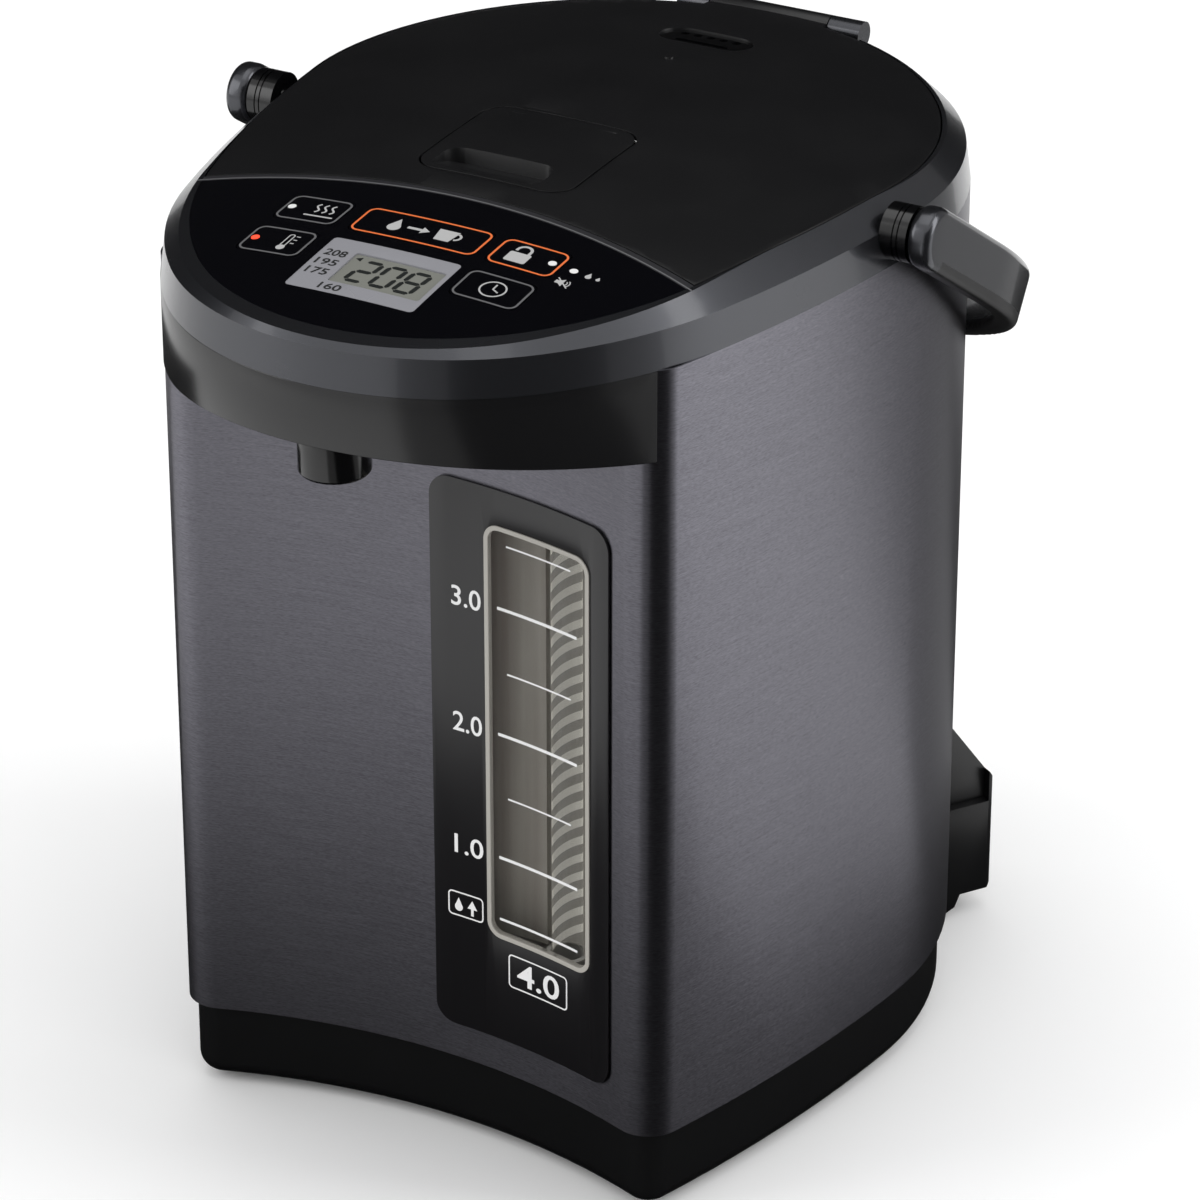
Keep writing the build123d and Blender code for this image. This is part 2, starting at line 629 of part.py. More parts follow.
# Handle pivots: a boss on each side of the ring, a grooved black collar and a steel pin.
handle_y = -19.3
handle_z = seam_high + 9.2
pivot_boss_radius = 8.6
pivot_boss_reach = back_radius - 4.0
handle_half = 9.0          # half height of the handle's band
handle_wall = 7.4
handle_inner = back_radius + 4.5        # half distance between the arms
handle_pin_radius = 3.0
handle_pin_inner = back_radius - 7.0
collar_reach = handle_inner - fit_gap
collar_radius = 8.2
collar_groove = 0.7
bushes = None
pins = None
for side in (1, -1):
    boss = cross_drum(side * (back_radius - rim_inset), side * pivot_boss_reach, handle_y, handle_z,
                      pivot_boss_radius)
    boss &= ring_form
    ring += boss
    collar = cross_drum(side * pivot_boss_reach, side * collar_reach, handle_y, handle_z,
                        collar_radius)
    for reach in (collar_reach - 4.4, collar_reach - 2.9):
        groove = cross_drum(side * reach, side * (reach + 0.4), handle_y, handle_z,
                            collar_radius + 1.0)
        groove -= cross_drum(side * (reach - 1.0), side * (reach + 1.4), handle_y, handle_z,
                             collar_radius - collar_groove)
        collar -= groove
    bore = cross_drum(side * (back_radius - 12.0), side * (handle_inner + 1.0), handle_y,
                      handle_z, handle_pin_radius)
    ring -= bore
    ring -= cross_drum(side * pivot_boss_reach, side * (collar_reach + 1.0), handle_y, handle_z,
                       collar_radius + touch_gap)
    collar -= bore
    pin = cross_drum(side * handle_pin_inner, side * (handle_inner + handle_wall - 2.0),
                     handle_y, handle_z, handle_pin_radius)
    bushes = collar if bushes is None else bushes + collar
    pins = pin if pins is None else pins + pin
parts["handle_bushes"] = bushes
parts["handle_pins"] = pins

# ---------------------------------------------------------------- lid hinge on the ring
hinge_y = back_radius - 4.0
hinge_z = seam_high + 14.0
hinge_radius = 4.2
hinge_half = 31.0
hinge_tail_half = 20.0
hinge_pin_radius = 1.5
hinge_pin_half = hinge_half - 2.5
knuckle_gap = 0.4
notch_half = hinge_half + 4.0
hinge_notch = block(-notch_half, notch_half, back_radius - 16.0, back_radius + 2.0,
                    hinge_z - hinge_radius - knuckle_gap, sky)
ring -= hinge_notch
for side in (1, -1):
    knuckle = cross_drum(side * (hinge_tail_half + knuckle_gap), side * hinge_half, hinge_y,
                         hinge_z, hinge_radius)
    saddle = block(*sorted((side * (hinge_tail_half + knuckle_gap), side * hinge_half)),
                   hinge_y - 2.5, hinge_y + 2.5, hinge_z - hinge_radius - knuckle_gap, hinge_z)
    ring += knuckle + saddle
ring -= cross_drum(-hinge_pin_half, hinge_pin_half, hinge_y, hinge_z, hinge_pin_radius)
parts["top_ring"] = ring
parts["hinge_pin"] = cross_drum(-hinge_pin_half, hinge_pin_half, hinge_y, hinge_z,
                                hinge_pin_radius)

# ---------------------------------------------------------------- shoulder deck
deck_edge = shell_wall + fit_gap
deck_skirt = 2.3
deck = column(plan(body_arcs, deck_edge), deck_bottom, deck_top)
skirt = column(plan(body_arcs, deck_edge) - plan(body_arcs, deck_edge + deck_skirt), deck_top,
               seam_high)
skirt_front = -94.0
deck += skirt & block(-sky, sky, skirt_front, sky, 0, sky)
deck -= drum(0, 0, deck_bottom - 1.0, deck_top + 1.0, deck_hole_radius)
bulkhead_face = ahead_of_split(split_gap / 2) - ahead_of_split(strip_width)
bulkhead_face &= plan(head_arcs, rim_inset + touch_gap)
bulkhead = column(bulkhead_face, deck_top, sky) & crown_block(0.0)
hook_half = 8.0
hook_thickness = 3.0
lid_base_bottom = flange_top + 2.5
lid_base_thickness = 2.5
lid_base_top = lid_base_bottom + lid_base_thickness
hook_z = lid_base_top + fit_gap
catch_margin = 0.8
bulkhead -= block(-hook_half - catch_margin, hook_half + catch_margin,
                  split_middle - strip_width - 5.0, split_middle + 5.0,
                  hook_z - catch_margin, hook_z + hook_thickness + catch_margin)
deck += bulkhead
pipe_notch = pipe_radius + 2.0
deck -= block(-pipe_notch, pipe_notch, riser_y - 20.0, riser_y + pipe_notch, deck_bottom - 1.0,
              deck_top + 1.0)
harness_x = -50.0
harness_y = -103.0
harness_radius = 2.4
deck -= drum(harness_x, harness_y, deck_bottom - 1.0, deck_top + 1.0, harness_radius + fit_gap)
parts["shoulder_deck"] = deck

# ---------------------------------------------------------------- beak over the cup bay
beak_wall = 4.4
beak_front_z = seam_high - 18.2
beak_slope = 0.17
beak_low = beak_front_z - beak_slope * (nose_reach - 60.0)


def beak_plane_cut(lift):
    """Everything under the slanted bottom of the beak, raised by lift."""
    front, back = -200.0, -40.0
    line = [(front, beak_front_z + lift + beak_slope * (-nose_reach - front)),
            (back, beak_front_z + lift + beak_slope * (-nose_reach - back)),
            (back, 0), (front, 0)]
    return extrude(Plane.YZ * make_face(Polyline(*line, close=True)), amount=150.0, both=True)


body_form = column(plan(body_arcs, 0.0), 0, seam_high + 1.0)
beyond = 2 * nose_reach    # clear of the body on every side
beak_zone = block(-beyond, beyond, -beyond, corner_y - 3.0, 0, seam_high)
beak = column(plan(head_arcs, 0.0) - plan(head_arcs, beak_wall), beak_low, seam_high)
beak -= beak_plane_cut(0.0)
beak = (beak & beak_zone) - body_form
parts["beak_cover"] = beak
recess = 3.0
plate_thickness = 2.0
underside = column(plan(head_arcs, beak_wall + touch_gap), beak_low, seam_high - 4.0)
underside = (underside & beak_plane_cut(recess + plate_thickness)) - beak_plane_cut(recess)
underside = (underside & beak_zone) - body_form
nozzle_radius = 10.2
nozzle_bottom = beak_front_z - 14.0
underside -= drum(0, nozzle_y, beak_low, seam_high, nozzle_radius + touch_gap)
parts["beak_underside"] = underside
nozzle_wall = 1.8
throat = pipe_bore
nozzle = turned([(throat, nozzle_bottom + 4.0), (pipe_radius, nozzle_bottom + 4.0),
                 (nozzle_radius - nozzle_wall - 0.8, nozzle_bottom + 6.0),
                 (nozzle_radius - nozzle_wall, nozzle_bottom),
                 (nozzle_radius - 0.6, nozzle_bottom), (nozzle_radius, nozzle_bottom + 0.8),
                 (nozzle_radius, nozzle_top), (throat, nozzle_top)])
parts["spout_nozzle"] = Pos(0, nozzle_y, 0) * nozzle

# ---------------------------------------------------------------- control tray and board
tray_thickness = 2.0
tray_inset = ring_wall + touch_gap
tray_top = seam_high + tray_thickness
tray = column(plan(head_arcs, tray_inset) & ahead_of_split(strip_width + touch_gap), seam_high,
              tray_top)
post_places = [(side * x, y) for side in (1, -1) for x, y in ((62.0, -108.0),
                                                          (30.0, 24.4 - nose_reach))]
board_post = 4.0
control_z = tray_top + board_post
control_thickness = 1.6
for x, y in post_places:
    tray += drum(x, y, tray_top, control_z, 3.0)
tray -= drum(harness_x, harness_y, seam_high - 1.0, tray_top + 1.0, harness_radius + fit_gap)
parts["control_tray"] = tray
control_board = column(plan(head_arcs, 17.0) & ahead_of_split(strip_width + 6.0), control_z,
                       control_z + control_thickness)
parts["control_board"] = control_board
control_top = control_z + control_thickness

# ---------------------------------------------------------------- keys, display and panel
panel_thickness = 2.4
panel_inset = rim_inset + touch_gap
row_back = -107.2
row_front = -126.3
column_left = -34.6
column_right = 33.7
# name: centre x, centre y, width, depth
keys = {
    "key_reboil": (column_left, row_back, 20.0, 14.4),
    "key_temperature": (column_left, row_front, 20.0, 14.4),
    "key_dispense": (0.0, row_back, 40.4, 14.4),
    "key_unlock": (column_right, row_back, 21.0, 14.4),
    "key_timer": (column_right, row_front, 21.0, 14.4),
}
key_corner = 2.0
key_gap = 0.25
key_travel = 0.6
key_flange = 0.8
key_flange_thickness = 1.0
key_sink = 0.1
stem_radius = 1.6
led_radius = 1.2
led_places = [(column_left - 7.4, row_back + 0.2), (column_left - 7.4, row_front + 0.2),
              (column_right + 7.2, row_back + 0.6), (column_right + 14.2, row_back)]
panel = column(plan(head_arcs, panel_inset) & ahead_of_split(strip_width + touch_gap), seam_high,
               sky)
panel = (panel & crown_block(0.0)) - crown_block(panel_thickness)
display_width = 40.6
display_depth = 27.2
display_y = -132.8
display_corner = 1.5
glass_width = 28.8
glass_depth = 15.8
glass_x = 4.4
switches = None
for name, (x, y, width, depth) in keys.items():
    panel -= rounded_block(width, depth, key_corner, x, y, seam_high, sky)
    form = rounded_block(width - 2 * key_gap, depth - 2 * key_gap, key_corner - key_gap, x, y,
                         seam_high, sky)
    cap = (form & crown_block(0.0)) - crown_block(panel_thickness + key_sink)
    base = rounded_block(width + 2 * key_flange, depth + 2 * key_flange, key_corner + key_flange,
                         x, y, seam_high, sky)
    base = ((base & crown_block(panel_thickness + key_sink))
            - crown_block(panel_thickness + key_sink + key_flange_thickness))
    stem_top = crown_height(x, y) - panel_thickness - key_sink - key_flange_thickness / 2
    stem_bottom = control_top + 5.0
    cap += base
    cap += drum(x, y, stem_bottom, stem_top, stem_radius)
    for led_x, led_y in led_places:
        cap -= drum(led_x, led_y, seam_high, sky, led_radius + key_gap)
    parts[name] = cap
    switch = block(x - 3.0, x + 3.0, y - 3.0, y + 3.0, control_top, control_top + 3.2)
    switch += drum(x, y, control_top + 3.2, stem_bottom - key_travel - touch_gap, stem_radius)
    switches = switch if switches is None else switches + switch
parts["key_switches"] = switches

panel -= rounded_block(display_width, display_depth, display_corner, 0, display_y, seam_high, sky)
glass = rounded_block(glass_width, glass_depth, 1.0, glass_x, display_y, seam_high, sky)
bezel = rounded_block(display_width - 0.2, display_depth - 0.2, display_corner - 0.1, 0,
                      display_y, seam_high, sky)
bezel = (bezel & crown_block(0.0)) - crown_block(panel_thickness + 1.0)
parts["lcd_bezel"] = bezel - glass
parts["lcd_window"] = (rounded_block(glass_width, glass_depth, 1.0, glass_x, display_y, seam_high,
                                     sky) & crown_block(0.5)) - crown_block(panel_thickness)
module_edge = 2.0
module = rounded_block(glass_width + 2 * module_edge, glass_depth + 2 * module_edge, 1.0, glass_x,
                       display_y, control_top, sky) & crown_block(panel_thickness + 1.0 + touch_gap)
module += rounded_block(glass_width - 2 * touch_gap, glass_depth - 2 * touch_gap, 0.9, glass_x,
                        display_y, control_top, sky) & crown_block(panel_thickness + touch_gap)
parts["lcd_module"] = module
lenses = None
for x, y in led_places:
    panel -= drum(x, y, seam_high, sky, led_radius + touch_gap)
    lens = drum(x, y, control_top, sky, led_radius) & crown_block(0.0)
    lenses = lens if lenses is None else lenses + lens
parts["led_lenses"] = lenses
parts["control_panel"] = panel

# ---------------------------------------------------------------- wiring
harness_low = board_top + harness_radius
harness_points = [(board_left + 10.0, board_front + 3.0, harness_low),
                  (harness_x, harness_y, harness_low), (harness_x, harness_y, control_z)]
harness_path = FilletPolyline(*harness_points, radius=7.0)
parts["wiring_harness"] = sweep(Plane(harness_path @ 0, z_dir=harness_path % 0)
                                * Circle(harness_radius), path=harness_path)

# ================================================================ lid
lid_skirt_bottom = lid_base_top
lid_step_z = ring_line - 2.0
lid_step = 1.6
lid_wall = 2.6


def lid_plan(step):
    """Outline of the lid, closed in by step."""
    return plan(head_arcs, lid_inset + step) - ahead_of_split(-split_gap / 2 - step)


lid_form = column(lid_plan(0.0), lid_step_z, sky) + column(lid_plan(lid_step), lid_skirt_bottom,
                                                           lid_step_z)
lid_form &= crown_block(0.0)
lid_hollow = column(lid_plan(lid_step + lid_wall), 0, sky) & crown_block(lid_wall)
lid_cover = lid_form - lid_hollow

lever_width = 49.0
lever_front = -72.0
lever_back = -25.6
lever_corner = 7.5
lever_gap = 0.7
lever_thickness = 3.2
lever_pin_y = lever_back - 2.4
lever_pin_z = crown_top - 2.0
lever_barrel_radius = 1.9
lever_barrel_half = 17.0
lever_pin_radius = 0.8
pocket_back = lever_back + lever_gap
pocket_front = lever_front - lever_gap
pocket_floor = crown_top - 9.8
pocket_wall = 1.8
pocket_depth_y = pocket_back - pocket_front
pocket_y = (pocket_back + pocket_front) / 2
pocket_width = lever_width + 2 * lever_gap
pocket_block = rounded_block(pocket_width + 2 * pocket_wall, pocket_depth_y + 2 * pocket_wall,
                             lever_corner + lever_gap + pocket_wall, 0, pocket_y,
                             pocket_floor - pocket_wall, sky) & crown_block(0.0)
pocket = rounded_block(pocket_width, pocket_depth_y, lever_corner + lever_gap, 0, pocket_y,
                       pocket_floor, sky)
lid_cover = lid_cover + pocket_block - pocket
lever_pin_half = pocket_width / 2 + pocket_wall
lid_cover -= cross_drum(-lever_pin_half, lever_pin_half, lever_pin_y, lever_pin_z,
                        lever_pin_radius)

vent_y = 57.0
vent_width_x = 30.0
vent_depth_y = 14.0
vent_corner = vent_depth_y / 2 - 0.01
lid_cover -= rounded_block(vent_width_x, vent_depth_y, vent_corner, 0, vent_y, seam_high, sky)
vent_sink = 0.6
vent_depth = 8.0           # of the cap's skirt
vent_gap = 0.15
vent_width_in = vent_width_x - 2 * vent_gap
vent_depth_in = vent_depth_y - 2 * vent_gap
vent_cap = rounded_block(vent_width_in, vent_depth_in, vent_corner - vent_gap, 0, vent_y,
                         seam_high, sky)
vent_cap = (vent_cap & crown_block(vent_sink)) - crown_block(vent_sink + vent_depth)
vent_cap -= rounded_block(vent_width_in - 3.0, vent_depth_in - 3.0, vent_corner - 1.8, 0, vent_y,
                          seam_high, sky) & crown_block(vent_sink + 1.8)
hole_count = 5
hole_pitch = 4.3
hole_radius = 1.35
for index in range(hole_count):
    hole_x = (index - (hole_count - 1) / 2) * hole_pitch
    vent_cap -= drum(hole_x, vent_y + 3.0, seam_high, sky, hole_radius)
vent_cap -= rounded_block(18.0, 2.0, 0.99, 0, vent_y - 3.4, seam_high, sky)
parts["steam_vent_cap"] = vent_cap
lid_pip_y = 34.0
lid_pip_rise = 0.5
lid_pip_radius = 1.4
lid_cover += drum(0, lid_pip_y, crown_top - lid_wall, sky, lid_pip_radius) & crown_block(-lid_pip_rise)

hinge_arm = block(-hinge_tail_half, hinge_tail_half, back_radius - lid_inset - lid_step - 4.0,
                  hinge_y, hinge_z - 1.0, hinge_z + 4.0) & crown_block(0.0)
hinge_barrel = cross_drum(-hinge_tail_half, hinge_tail_half, hinge_y, hinge_z, hinge_radius)
lid_cover = lid_cover + (hinge_arm - lid_hollow) + hinge_barrel
lid_cover -= cross_drum(-hinge_tail_half - 1.0, hinge_tail_half + 1.0, hinge_y, hinge_z,
                        hinge_pin_radius + running_gap)
latch_slot_z = hook_z - 0.2
lid_cover -= block(-hook_half - 0.4, hook_half + 0.4, split_middle - 2.0, split_middle + 10.0,
                   latch_slot_z, hook_z + hook_thickness + 0.4)
parts["lid_cover"] = lid_cover

lid_base = column(lid_plan(lid_step + 0.6), lid_base_bottom, lid_base_top)
duct_outer = 8.0
duct_inner = 6.4
lid_base += drum(0, vent_y, lid_base_top, sky, duct_outer) & crown_block(vent_sink + vent_depth)
lid_base -= drum(0, vent_y, 0, sky, duct_inner)
parts["lid_base"] = lid_base

dish_radius = neck_radius - 2.2
dish_depth = 9.0
dish_wall = 1.0
dish = turned([(0, lid_base_bottom - dish_depth), (dish_radius - 4.0, lid_base_bottom - dish_depth),
               (dish_radius, lid_base_bottom - dish_depth + 4.0), (dish_radius, lid_base_bottom),
               (dish_radius - dish_wall, lid_base_bottom),
               (dish_radius - dish_wall, lid_base_bottom - dish_depth + 4.5),
               (dish_radius - 4.4, lid_base_bottom - dish_depth + dish_wall),
               (0, lid_base_bottom - dish_depth + dish_wall)])
steam_hole_count = 6
steam_ring = 9.0
steam_ring_y = neck_radius - 26.0
steam_hole_radius = 1.6
for index in range(steam_hole_count):
    angle = math.radians(index * 360.0 / steam_hole_count)
    dish -= drum(steam_ring * math.cos(angle), steam_ring_y + steam_ring * math.sin(angle), 0, sky,
                 steam_hole_radius)
parts["inner_lid"] = dish
gasket_gap = 0.3
parts["lid_gasket"] = (drum(0, 0, flange_top + gasket_gap, lid_base_bottom, flange_radius - 1.0)
                       - drum(0, 0, flange_top, lid_base_bottom + 1.0, neck_radius + 1.0))

# ---------------------------------------------------------------- lid lever and latch
scoop_x = -2.5
scoop_width = 35.0
scoop_back = -57.0
scoop_front = -71.0
scoop_deep = 5.0           # at its back edge
scoop_shallow = 0.4        # at its front edge
scoop_corner = 5.0
scoop_wall = 1.3
scoop_y = (scoop_back + scoop_front) / 2
scoop_depth = scoop_back - scoop_front


def below_scoop_floor(drop):
    """Everything under the sloping floor of the finger scoop, lowered by drop."""
    fall = (scoop_deep - scoop_shallow) / scoop_depth
    floor_back = crown_height(scoop_x, scoop_back) - scoop_deep - drop
    reach = 2 * scoop_depth
    line = [(scoop_back + reach, floor_back - fall * reach),
            (scoop_front - reach, floor_back + fall * (scoop_depth + reach)),
            (scoop_front - reach, seam_high), (scoop_back + reach, seam_high)]
    return extrude(Plane.YZ * make_face(Polyline(*line, close=True)), amount=lever_width, both=True)


lever_plan = rounded_block(lever_width, lever_back - lever_front, lever_corner, 0,
                           (lever_back + lever_front) / 2, seam_high, sky)
lever = (lever_plan & crown_block(0.0)) - crown_block(lever_thickness)
lever += cross_drum(-lever_barrel_half, lever_barrel_half, lever_pin_y, lever_pin_z,
                    lever_barrel_radius)
pan = rounded_block(scoop_width + 2 * scoop_wall, scoop_depth + 2 * scoop_wall,
                    scoop_corner + scoop_wall, scoop_x, scoop_y, seam_high, sky)
pan = (pan & lever_plan & crown_block(0.0)) - below_scoop_floor(scoop_wall)
lever += pan
lever -= rounded_block(scoop_width, scoop_depth, scoop_corner, scoop_x, scoop_y, seam_high,
                       sky) - below_scoop_floor(0.0)
lever -= cross_drum(-lever_width, lever_width, lever_pin_y, lever_pin_z,
                    lever_pin_radius + running_gap)
parts["lid_lever"] = lever
parts["lever_pin"] = cross_drum(-lever_pin_half, lever_pin_half, lever_pin_y, lever_pin_z,
                                lever_pin_radius)
hook_tip = split_middle + split_gap / 2 + 0.3
hook_back = -40.0
hook = block(-hook_half, hook_half, hook_tip, hook_back, hook_z, hook_z + hook_thickness)
nose_edge = hook.edges().filter_by(Axis.X).sort_by(Axis.Y)[0:2].sort_by(Axis.Z)[-1]
hook = chamfer(nose_edge, 1.2)
parts["latch_hook"] = hook

# ================================================================ handle
handle_straight = 45.0
handle_droop = 33.0
handle_split = -5.4        # seam between the band and its underside, below the middle
handle_outer = handle_inner + handle_wall


def handle_plan(inner, outer):
    """Hoop seen along the handle's own height: two arms and a half round."""
    hoop = Circle(outer) - Circle(inner)
    hoop -= Pos(0, -outer) * Rectangle(4 * outer, 2 * outer)
    hoop = Pos(0, handle_straight) * hoop
    for side in (1, -1):
        middle = side * (inner + outer) / 2
        hoop += Pos(middle, handle_straight / 2) * Rectangle(outer - inner, handle_straight)
    return hoop


band = column(handle_plan(handle_inner, handle_outer), -handle_half, handle_half)
for side in (1, -1):
    band += cross_drum(side * handle_inner, side * handle_outer, 0, 0, handle_half)
band = fillet(band.edges().filter_by(lambda e: e.length > 3 * handle_wall), 2.6)
split_tool = block(-sky, sky, 4.0, sky, -handle_half - 1.0, handle_split)
upper = band - split_tool
lower = band & split_tool
for side in (1, -1):
    socket = cross_drum(side * (handle_inner - 1.0), side * (handle_outer - 2.0), 0, 0,
                        handle_pin_radius + running_gap)
    upper -= socket
    lower -= socket
to_pivot = Pos(0, handle_y, handle_z) * Rot(-handle_droop, 0, 0)
parts["handle_shell"] = to_pivot * upper
parts["handle_underside"] = to_pivot * lower

# ================================================================ output
os.makedirs("parts", exist_ok=True)
for name, shape in parts.items():
    export_step(shape, f"parts/{name}.step")
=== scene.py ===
import math

import bpy
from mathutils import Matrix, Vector


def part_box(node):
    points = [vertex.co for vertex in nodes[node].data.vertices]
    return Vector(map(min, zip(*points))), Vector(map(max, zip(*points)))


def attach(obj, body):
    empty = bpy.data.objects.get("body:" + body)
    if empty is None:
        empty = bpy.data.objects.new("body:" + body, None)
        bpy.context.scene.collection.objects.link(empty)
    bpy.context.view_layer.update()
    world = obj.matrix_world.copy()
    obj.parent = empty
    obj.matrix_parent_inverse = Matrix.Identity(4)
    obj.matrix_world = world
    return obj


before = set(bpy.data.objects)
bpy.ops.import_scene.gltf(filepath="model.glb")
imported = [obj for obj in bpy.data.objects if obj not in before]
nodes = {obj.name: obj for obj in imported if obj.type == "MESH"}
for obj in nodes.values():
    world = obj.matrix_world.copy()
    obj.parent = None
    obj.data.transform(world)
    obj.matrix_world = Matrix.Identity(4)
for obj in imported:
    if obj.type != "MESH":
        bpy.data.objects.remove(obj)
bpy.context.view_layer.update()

MM = 0.001
scene = bpy.context.scene

# ---------------------------------------------------------------- sizes in millimetres
# Front of the shell in plan: a hollow between two round corners.
CORNER_RADIUS = 10.6
CORNER = (72.8, -108.5)
FRONT_HOLLOW = 12.7
GAUGE_STAND = 0.9
# Crown of the head, and the arc in plan that parts the lid from the fixed head.
CROWN_RADIUS_X = 587.0
CROWN_RADIUS_Y = 860.0
CROWN_CENTRE_Y = -21.0
CROWN_RISE = 25.1
SPLIT_MIDDLE = -83.3
SPLIT_RADIUS = 260.0
SHELL_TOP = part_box("outer_shell")[1].z / MM
CROWN_TOP = SHELL_TOP + CROWN_RISE
INK_LIFT = 0.02
INK_THICKNESS = 0.05


# ---------------------------------------------------------------- surfaces that ink lies on
def front_hollow():
    """Centre (y) and radius of the hollow front of the shell."""
    front_y = CORNER[1] - CORNER_RADIUS + FRONT_HOLLOW
    corner_back = CORNER[1] - front_y
    radius = ((CORNER[0] ** 2 + corner_back ** 2 - CORNER_RADIUS ** 2)
              / (2 * (CORNER_RADIUS - corner_back)))
    return front_y - radius, radius


FRONT_CENTRE, FRONT_RADIUS = front_hollow()


def on_gauge(x, z, lift):
    """Place in metres on the face of the gauge panel and its window."""
    reach = FRONT_RADIUS - GAUGE_STAND - lift
    return (x * MM, (FRONT_CENTRE + math.sqrt(reach ** 2 - x ** 2)) * MM, z * MM)


def crown(x, y):
    """Height of the crown at a place in plan."""
    across = CROWN_RADIUS_X - math.sqrt(CROWN_RADIUS_X ** 2 - x ** 2)
    reach = CROWN_RADIUS_Y - across
    return CROWN_TOP - CROWN_RADIUS_Y + math.sqrt(reach ** 2 - (y - CROWN_CENTRE_Y) ** 2)


def on_crown(x, y, lift):
    """Place in metres on the crowned top of the head."""
    return (x * MM, y * MM, (crown(x, y) + lift) * MM)


# ---------------------------------------------------------------- colours and nodes
def linear(code):
    """sRGB hex to a linear colour."""
    parts = [int(code[i:i + 2], 16) / 255 for i in (1, 3, 5)]
    light = [c / 12.92 if c <= 0.04045 else ((c + 0.055) / 1.055) ** 2.4 for c in parts]
    return tuple(light) + (1.0,)


def add(tree, kind, inputs=None, **settings):
    """Adds a node; an input is a value or the socket that feeds it."""
    node = tree.nodes.new(kind)
    for key, value in settings.items():
        setattr(node, key, value)
    for key, value in (inputs or {}).items():
        if isinstance(value, bpy.types.NodeSocket):
            tree.links.new(value, node.inputs[key])
        else:
            node.inputs[key].default_value = value
    return node


# ---------------------------------------------------------------- materials
# In millimetres: how wide a slow change in gloss is, and the x and y that the lit lamp lies below.
GLOSS_WAVE = 25.0
LIT_LAMP_X = -30.0
LIT_LAMP_Y = -117.0
LENS_FROST = "#dcdcdc"
LENS_RED = "#f0452c"


def start_material(name, colour, roughness, metallic=0.0, **sockets):
    """Principled material; returns (material, tree, shader)."""
    material = bpy.data.materials.new(name)
    material.use_nodes = True
    tree = material.node_tree
    shader = tree.nodes["Principled BSDF"]
    shader.inputs["Base Color"].default_value = linear(colour)
    shader.inputs["Roughness"].default_value = roughness
    shader.inputs["Metallic"].default_value = metallic
    for key, value in sockets.items():
        shader.inputs[key.replace("_", " ")].default_value = value
    return material, tree, shader


def object_coordinates(tree, per_metre=(1.0, 1.0, 1.0)):
    """Object coordinates that take so many steps in a metre."""
    place = add(tree, "ShaderNodeTexCoord")
    mapping = add(tree, "ShaderNodeMapping", {"Vector": place.outputs["Object"], "Scale": per_metre})
    return mapping.outputs[0]


def bump(tree, shader, height, strength, distance):
    """Feeds a height into the shader's normal."""
    node = add(tree, "ShaderNodeBump", {"Height": height, "Strength": strength, "Distance": distance})
    tree.links.new(node.outputs[0], shader.inputs["Normal"])


def moulded(name, colour, roughness, grain_mm=0.0, depth_mm=0.0, **sockets):
    """Injection moulded plastic: an optional spark-eroded grain, and a slow change in gloss."""
    material, tree, shader = start_material(name, colour, roughness, **sockets)
    slow = add(tree, "ShaderNodeTexNoise", {"Vector": object_coordinates(tree),
                                            "Scale": 1000.0 / GLOSS_WAVE, "Detail": 2.0})
    gloss = add(tree, "ShaderNodeMapRange", {"Value": slow.outputs[0], "To Min": roughness * 0.9,
                                             "To Max": roughness * 1.12})
    tree.links.new(gloss.outputs[0], shader.inputs["Roughness"])
    if grain_mm:
        grain = add(tree, "ShaderNodeTexNoise", {"Vector": object_coordinates(tree),
                                                 "Scale": 1000.0 / grain_mm, "Detail": 2.0,
                                                 "Roughness": 0.6})
        bump(tree, shader, grain.outputs[0], 0.6, depth_mm * MM)
    return material


def brushed_steel():
    """Stainless steel sheet, brushed round the body and tinted smoke.

    Level scratches make it streak light upwards, so that it shows soft upright bands. They are a
    third of a millimetre high and about 17 mm long, with flecks of 0.2 by 1.4 mm among them. Real
    ones are finer: these are as coarse as they need to be to show.
    """
    scratches_per_metre = (60.0, 60.0, 3000.0)
    flecks_per_metre = (700.0, 700.0, 4600.0)
    material, tree, shader = start_material("stainless_sheet_brushed_smoke", "#67666c", 0.35, 1.0,
                                            Anisotropic=0.75)
    upright = add(tree, "ShaderNodeCombineXYZ", {"Z": 1.0})
    tree.links.new(upright.outputs[0], shader.inputs["Tangent"])
    lines = add(tree, "ShaderNodeTexNoise", {"Vector": object_coordinates(tree, scratches_per_metre),
                                             "Scale": 1.0, "Detail": 4.0, "Roughness": 0.65})
    flecks = add(tree, "ShaderNodeTexNoise", {"Vector": object_coordinates(tree, flecks_per_metre),
                                              "Scale": 1.0, "Detail": 2.0})
    both = add(tree, "ShaderNodeMix", {0: 0.6, 2: lines.outputs[0], 3: flecks.outputs[0]})
    tint = add(tree, "ShaderNodeValToRGB", {"Fac": both.outputs[0]})
    tint.color_ramp.elements[0].position = 0.3
    tint.color_ramp.elements[0].color = linear("#58575d")
    tint.color_ramp.elements[1].position = 0.7
    tint.color_ramp.elements[1].color = linear("#76757c")
    tree.links.new(tint.outputs[0], shader.inputs["Base Color"])
    gloss = add(tree, "ShaderNodeMapRange", {"Value": both.outputs[0], "From Min": 0.3, "From Max": 0.7,
                                             "To Min": 0.32, "To Max": 0.39})
    tree.links.new(gloss.outputs[0], shader.inputs["Roughness"])
    bump(tree, shader, both.outputs[0], 0.15, 0.01 * MM)
    return material


